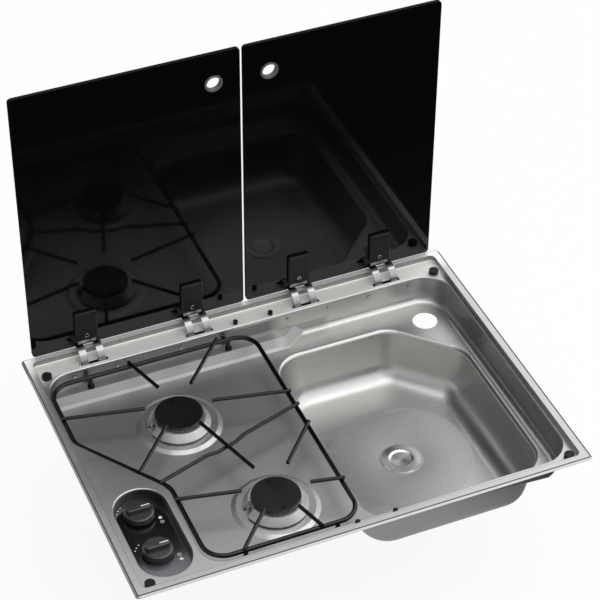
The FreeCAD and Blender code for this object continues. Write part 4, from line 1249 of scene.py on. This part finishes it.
@dataclass
class Lamp:
    """One soft box.

    Attributes:
        name: Its name.
        place: Where it stands.
        target: What it looks at.
        size: Its width and height.
        power: Its power in watts.
    """

    name: str
    place: tuple[float, float, float]
    target: tuple[float, float, float]
    size: tuple[float, float]
    power: float

    def build(self) -> None:
        """Put the soft box in the scene."""
        data = bpy.data.lights.new(self.name, "AREA")
        data.shape = "RECTANGLE"
        data.size, data.size_y = self.size
        data.energy = self.power
        lamp = put(self.name, data)
        lamp.location = self.place
        aim = Vector(self.target) - Vector(self.place)
        lamp.rotation_euler = aim.to_track_quat("-Z", "Y").to_euler()


@dataclass(frozen=True)
class Glow:
    """One soft patch of light in the room around the unit.

    Attributes:
        azimuth: Where it stands round the unit, in degrees from +X towards +Y.
        elevation: How high it stands, in degrees.
        strength: How bright its middle is.
        tightness: How quickly it fades from its middle.
    """

    azimuth: float
    elevation: float
    strength: float
    tightness: float = 10.0

    def way(self) -> tuple[float, float, float]:
        """The direction of the patch's middle.

        Returns:
            A vector of length 1.
        """
        turn, rise = math.radians(self.azimuth), math.radians(self.elevation)
        return (math.cos(turn) * math.cos(rise), math.sin(turn) * math.cos(rise), math.sin(rise))


@dataclass
class Studio:
    """Floor, light and camera.

    Attributes:
        level: Height of the floor.
        reach: Half the floor's width.
        grey: How much of its light the floor throws back.
        white: How much of the floor is plain white to the camera.
        mirrored: How bright the floor looks in a mirror, under the unit and farther out.
        fade: Where the floor goes from the one to the other.
        lamps: The soft boxes.
        glows: The soft light of the room.
        eye: Where the camera stands.
        turn: The camera's rotation.
        lens: Its focal length in millimetres.
        sensor: Width of its sensor in millimetres.
        sight: How far it sees.
    """

    level: float
    reach: float = 9.0
    grey: float = 0.9
    white: float = 0.9
    mirrored: tuple[float, float] = (0.42, 0.05)
    fade: tuple[float, float] = (0.27, 0.42)
    lamps: tuple[Lamp, ...] = (Lamp("top_box", (0.15, -0.1, 2.6), (0.0, 0.0, 0.0), (2.4, 2.0), 12.0),)
    glows: tuple[Glow, ...] = (
        Glow(0.0, 90.0, 0.60),
        Glow(20.0, 55.0, 1.52),
        Glow(220.0, 55.0, 0.32),
        Glow(300.0, 55.0, 1.08),
        Glow(0.0, 20.0, 1.57),
        Glow(45.0, 20.0, 0.79),
        Glow(90.0, 20.0, 2.03),
        Glow(135.0, 20.0, 0.56),
        Glow(225.0, 20.0, 0.75),
        Glow(270.0, 20.0, 0.56),
        Glow(315.0, 20.0, 1.22),
    )
    eye: tuple[float, float, float] = (-0.79658, -1.85094, 1.89751)
    turn: tuple[float, float, float] = (0.865556, -0.005073, -0.401437)
    lens: float = 130.82
    sensor: float = 36.0
    sight: float = 50.0

    def build(self) -> None:
        """Build the floor, the light and the camera."""
        self._floor()
        self._world()
        for lamp in self.lamps:
            lamp.build()
            LOG.info("%s: soft box", lamp.name)
        self._camera()
        bpy.context.scene.view_settings.view_transform = "Standard"

    def _floor(self) -> None:
        """A floor that is pale to the camera, keeps the shadow and looks darker in mirrors."""
        mesh = bmesh.new()
        bmesh.ops.create_grid(mesh, x_segments=1, y_segments=1, size=self.reach)
        data = settle("floor", mesh)
        floor = put("floor", data)
        floor.location.z = self.level
        material = bpy.data.materials.new("pale_floor")
        material.use_nodes = True
        graph = Graph(material.node_tree)
        graph.tree.nodes.clear()
        path = graph.add("ShaderNodeLightPath").outputs
        glow = graph.spread(graph.vector("LENGTH", graph.here()), self.fade, *self.mirrored)
        lit = graph.add("ShaderNodeBsdfDiffuse", {"Color": (self.grey, self.grey, self.grey, 1.0)}).outputs[0]
        plain = graph.add("ShaderNodeEmission", {"Color": WHITE, "Strength": 1.0}).outputs[0]
        dark = graph.add("ShaderNodeEmission", {"Color": WHITE, "Strength": glow}).outputs[0]
        share = graph.number("MULTIPLY", path["Is Camera Ray"], self.white)
        seen = graph.add("ShaderNodeMixShader", {0: share, 1: lit, 2: plain}).outputs[0]
        both = graph.add("ShaderNodeMixShader", {0: path["Is Glossy Ray"], 1: seen, 2: dark}).outputs[0]
        graph.add("ShaderNodeOutputMaterial", {"Surface": both})
        data.materials.append(material)
        floor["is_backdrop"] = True
        LOG.info("floor: pale")

    def _world(self) -> None:
        """A room, white to the camera, whose soft patches light the unit most from behind and the right."""
        world = bpy.data.worlds.new("white_room")
        bpy.context.scene.world = world
        world.use_nodes = True
        graph = Graph(world.node_tree)
        graph.tree.nodes.clear()
        path = graph.add("ShaderNodeLightPath").outputs
        way = graph.add("ShaderNodeTexCoord").outputs["Generated"]
        total: Socket | float = 0.0
        for glow in self.glows:
            ahead = graph.number("MAXIMUM", graph.vector("DOT_PRODUCT", way, glow.way()), 0.0)
            patch = graph.number("POWER", ahead, glow.tightness)
            total = graph.number("MULTIPLY_ADD", patch, glow.strength, total)
        room = graph.add("ShaderNodeBackground", {"Color": WHITE, "Strength": total}).outputs[0]
        white = graph.add("ShaderNodeBackground", {"Color": WHITE, "Strength": 1.0}).outputs[0]
        both = graph.add("ShaderNodeMixShader", {0: path["Is Camera Ray"], 1: room, 2: white}).outputs[0]
        graph.add("ShaderNodeOutputWorld", {"Surface": both})

    def _camera(self) -> None:
        """The camera at the photograph's angle."""
        data = bpy.data.cameras.new("photo_camera")
        data.lens = self.lens
        data.sensor_width = self.sensor
        data.clip_end = self.sight
        camera = put("photo_camera", data)
        camera.location = self.eye
        camera.rotation_euler = Euler(self.turn, "XYZ")
        bpy.context.scene.camera = camera


def main() -> None:
    """Load the frame, build every sub-assembly and set the studio's floor at the frame's lowest point."""
    for leftover in list(bpy.data.objects):
        bpy.data.objects.remove(leftover)
    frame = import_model()
    cad_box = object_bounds()
    nodes = frame["nodes"]
    for assembly in (
        SteelTop(nodes),
        PanSupport(nodes),
        Burners(nodes),
        Controls(nodes),
        Pipework(nodes),
        Waste(nodes),
        Lids(nodes),
        Hinges(nodes),
    ):
        assembly.build()
        assembly.dress()
    Studio(level=cad_box[0].z).build()


if __name__ == "__main__":
    logging.basicConfig(level=logging.INFO, format="%(message)s")
    main()
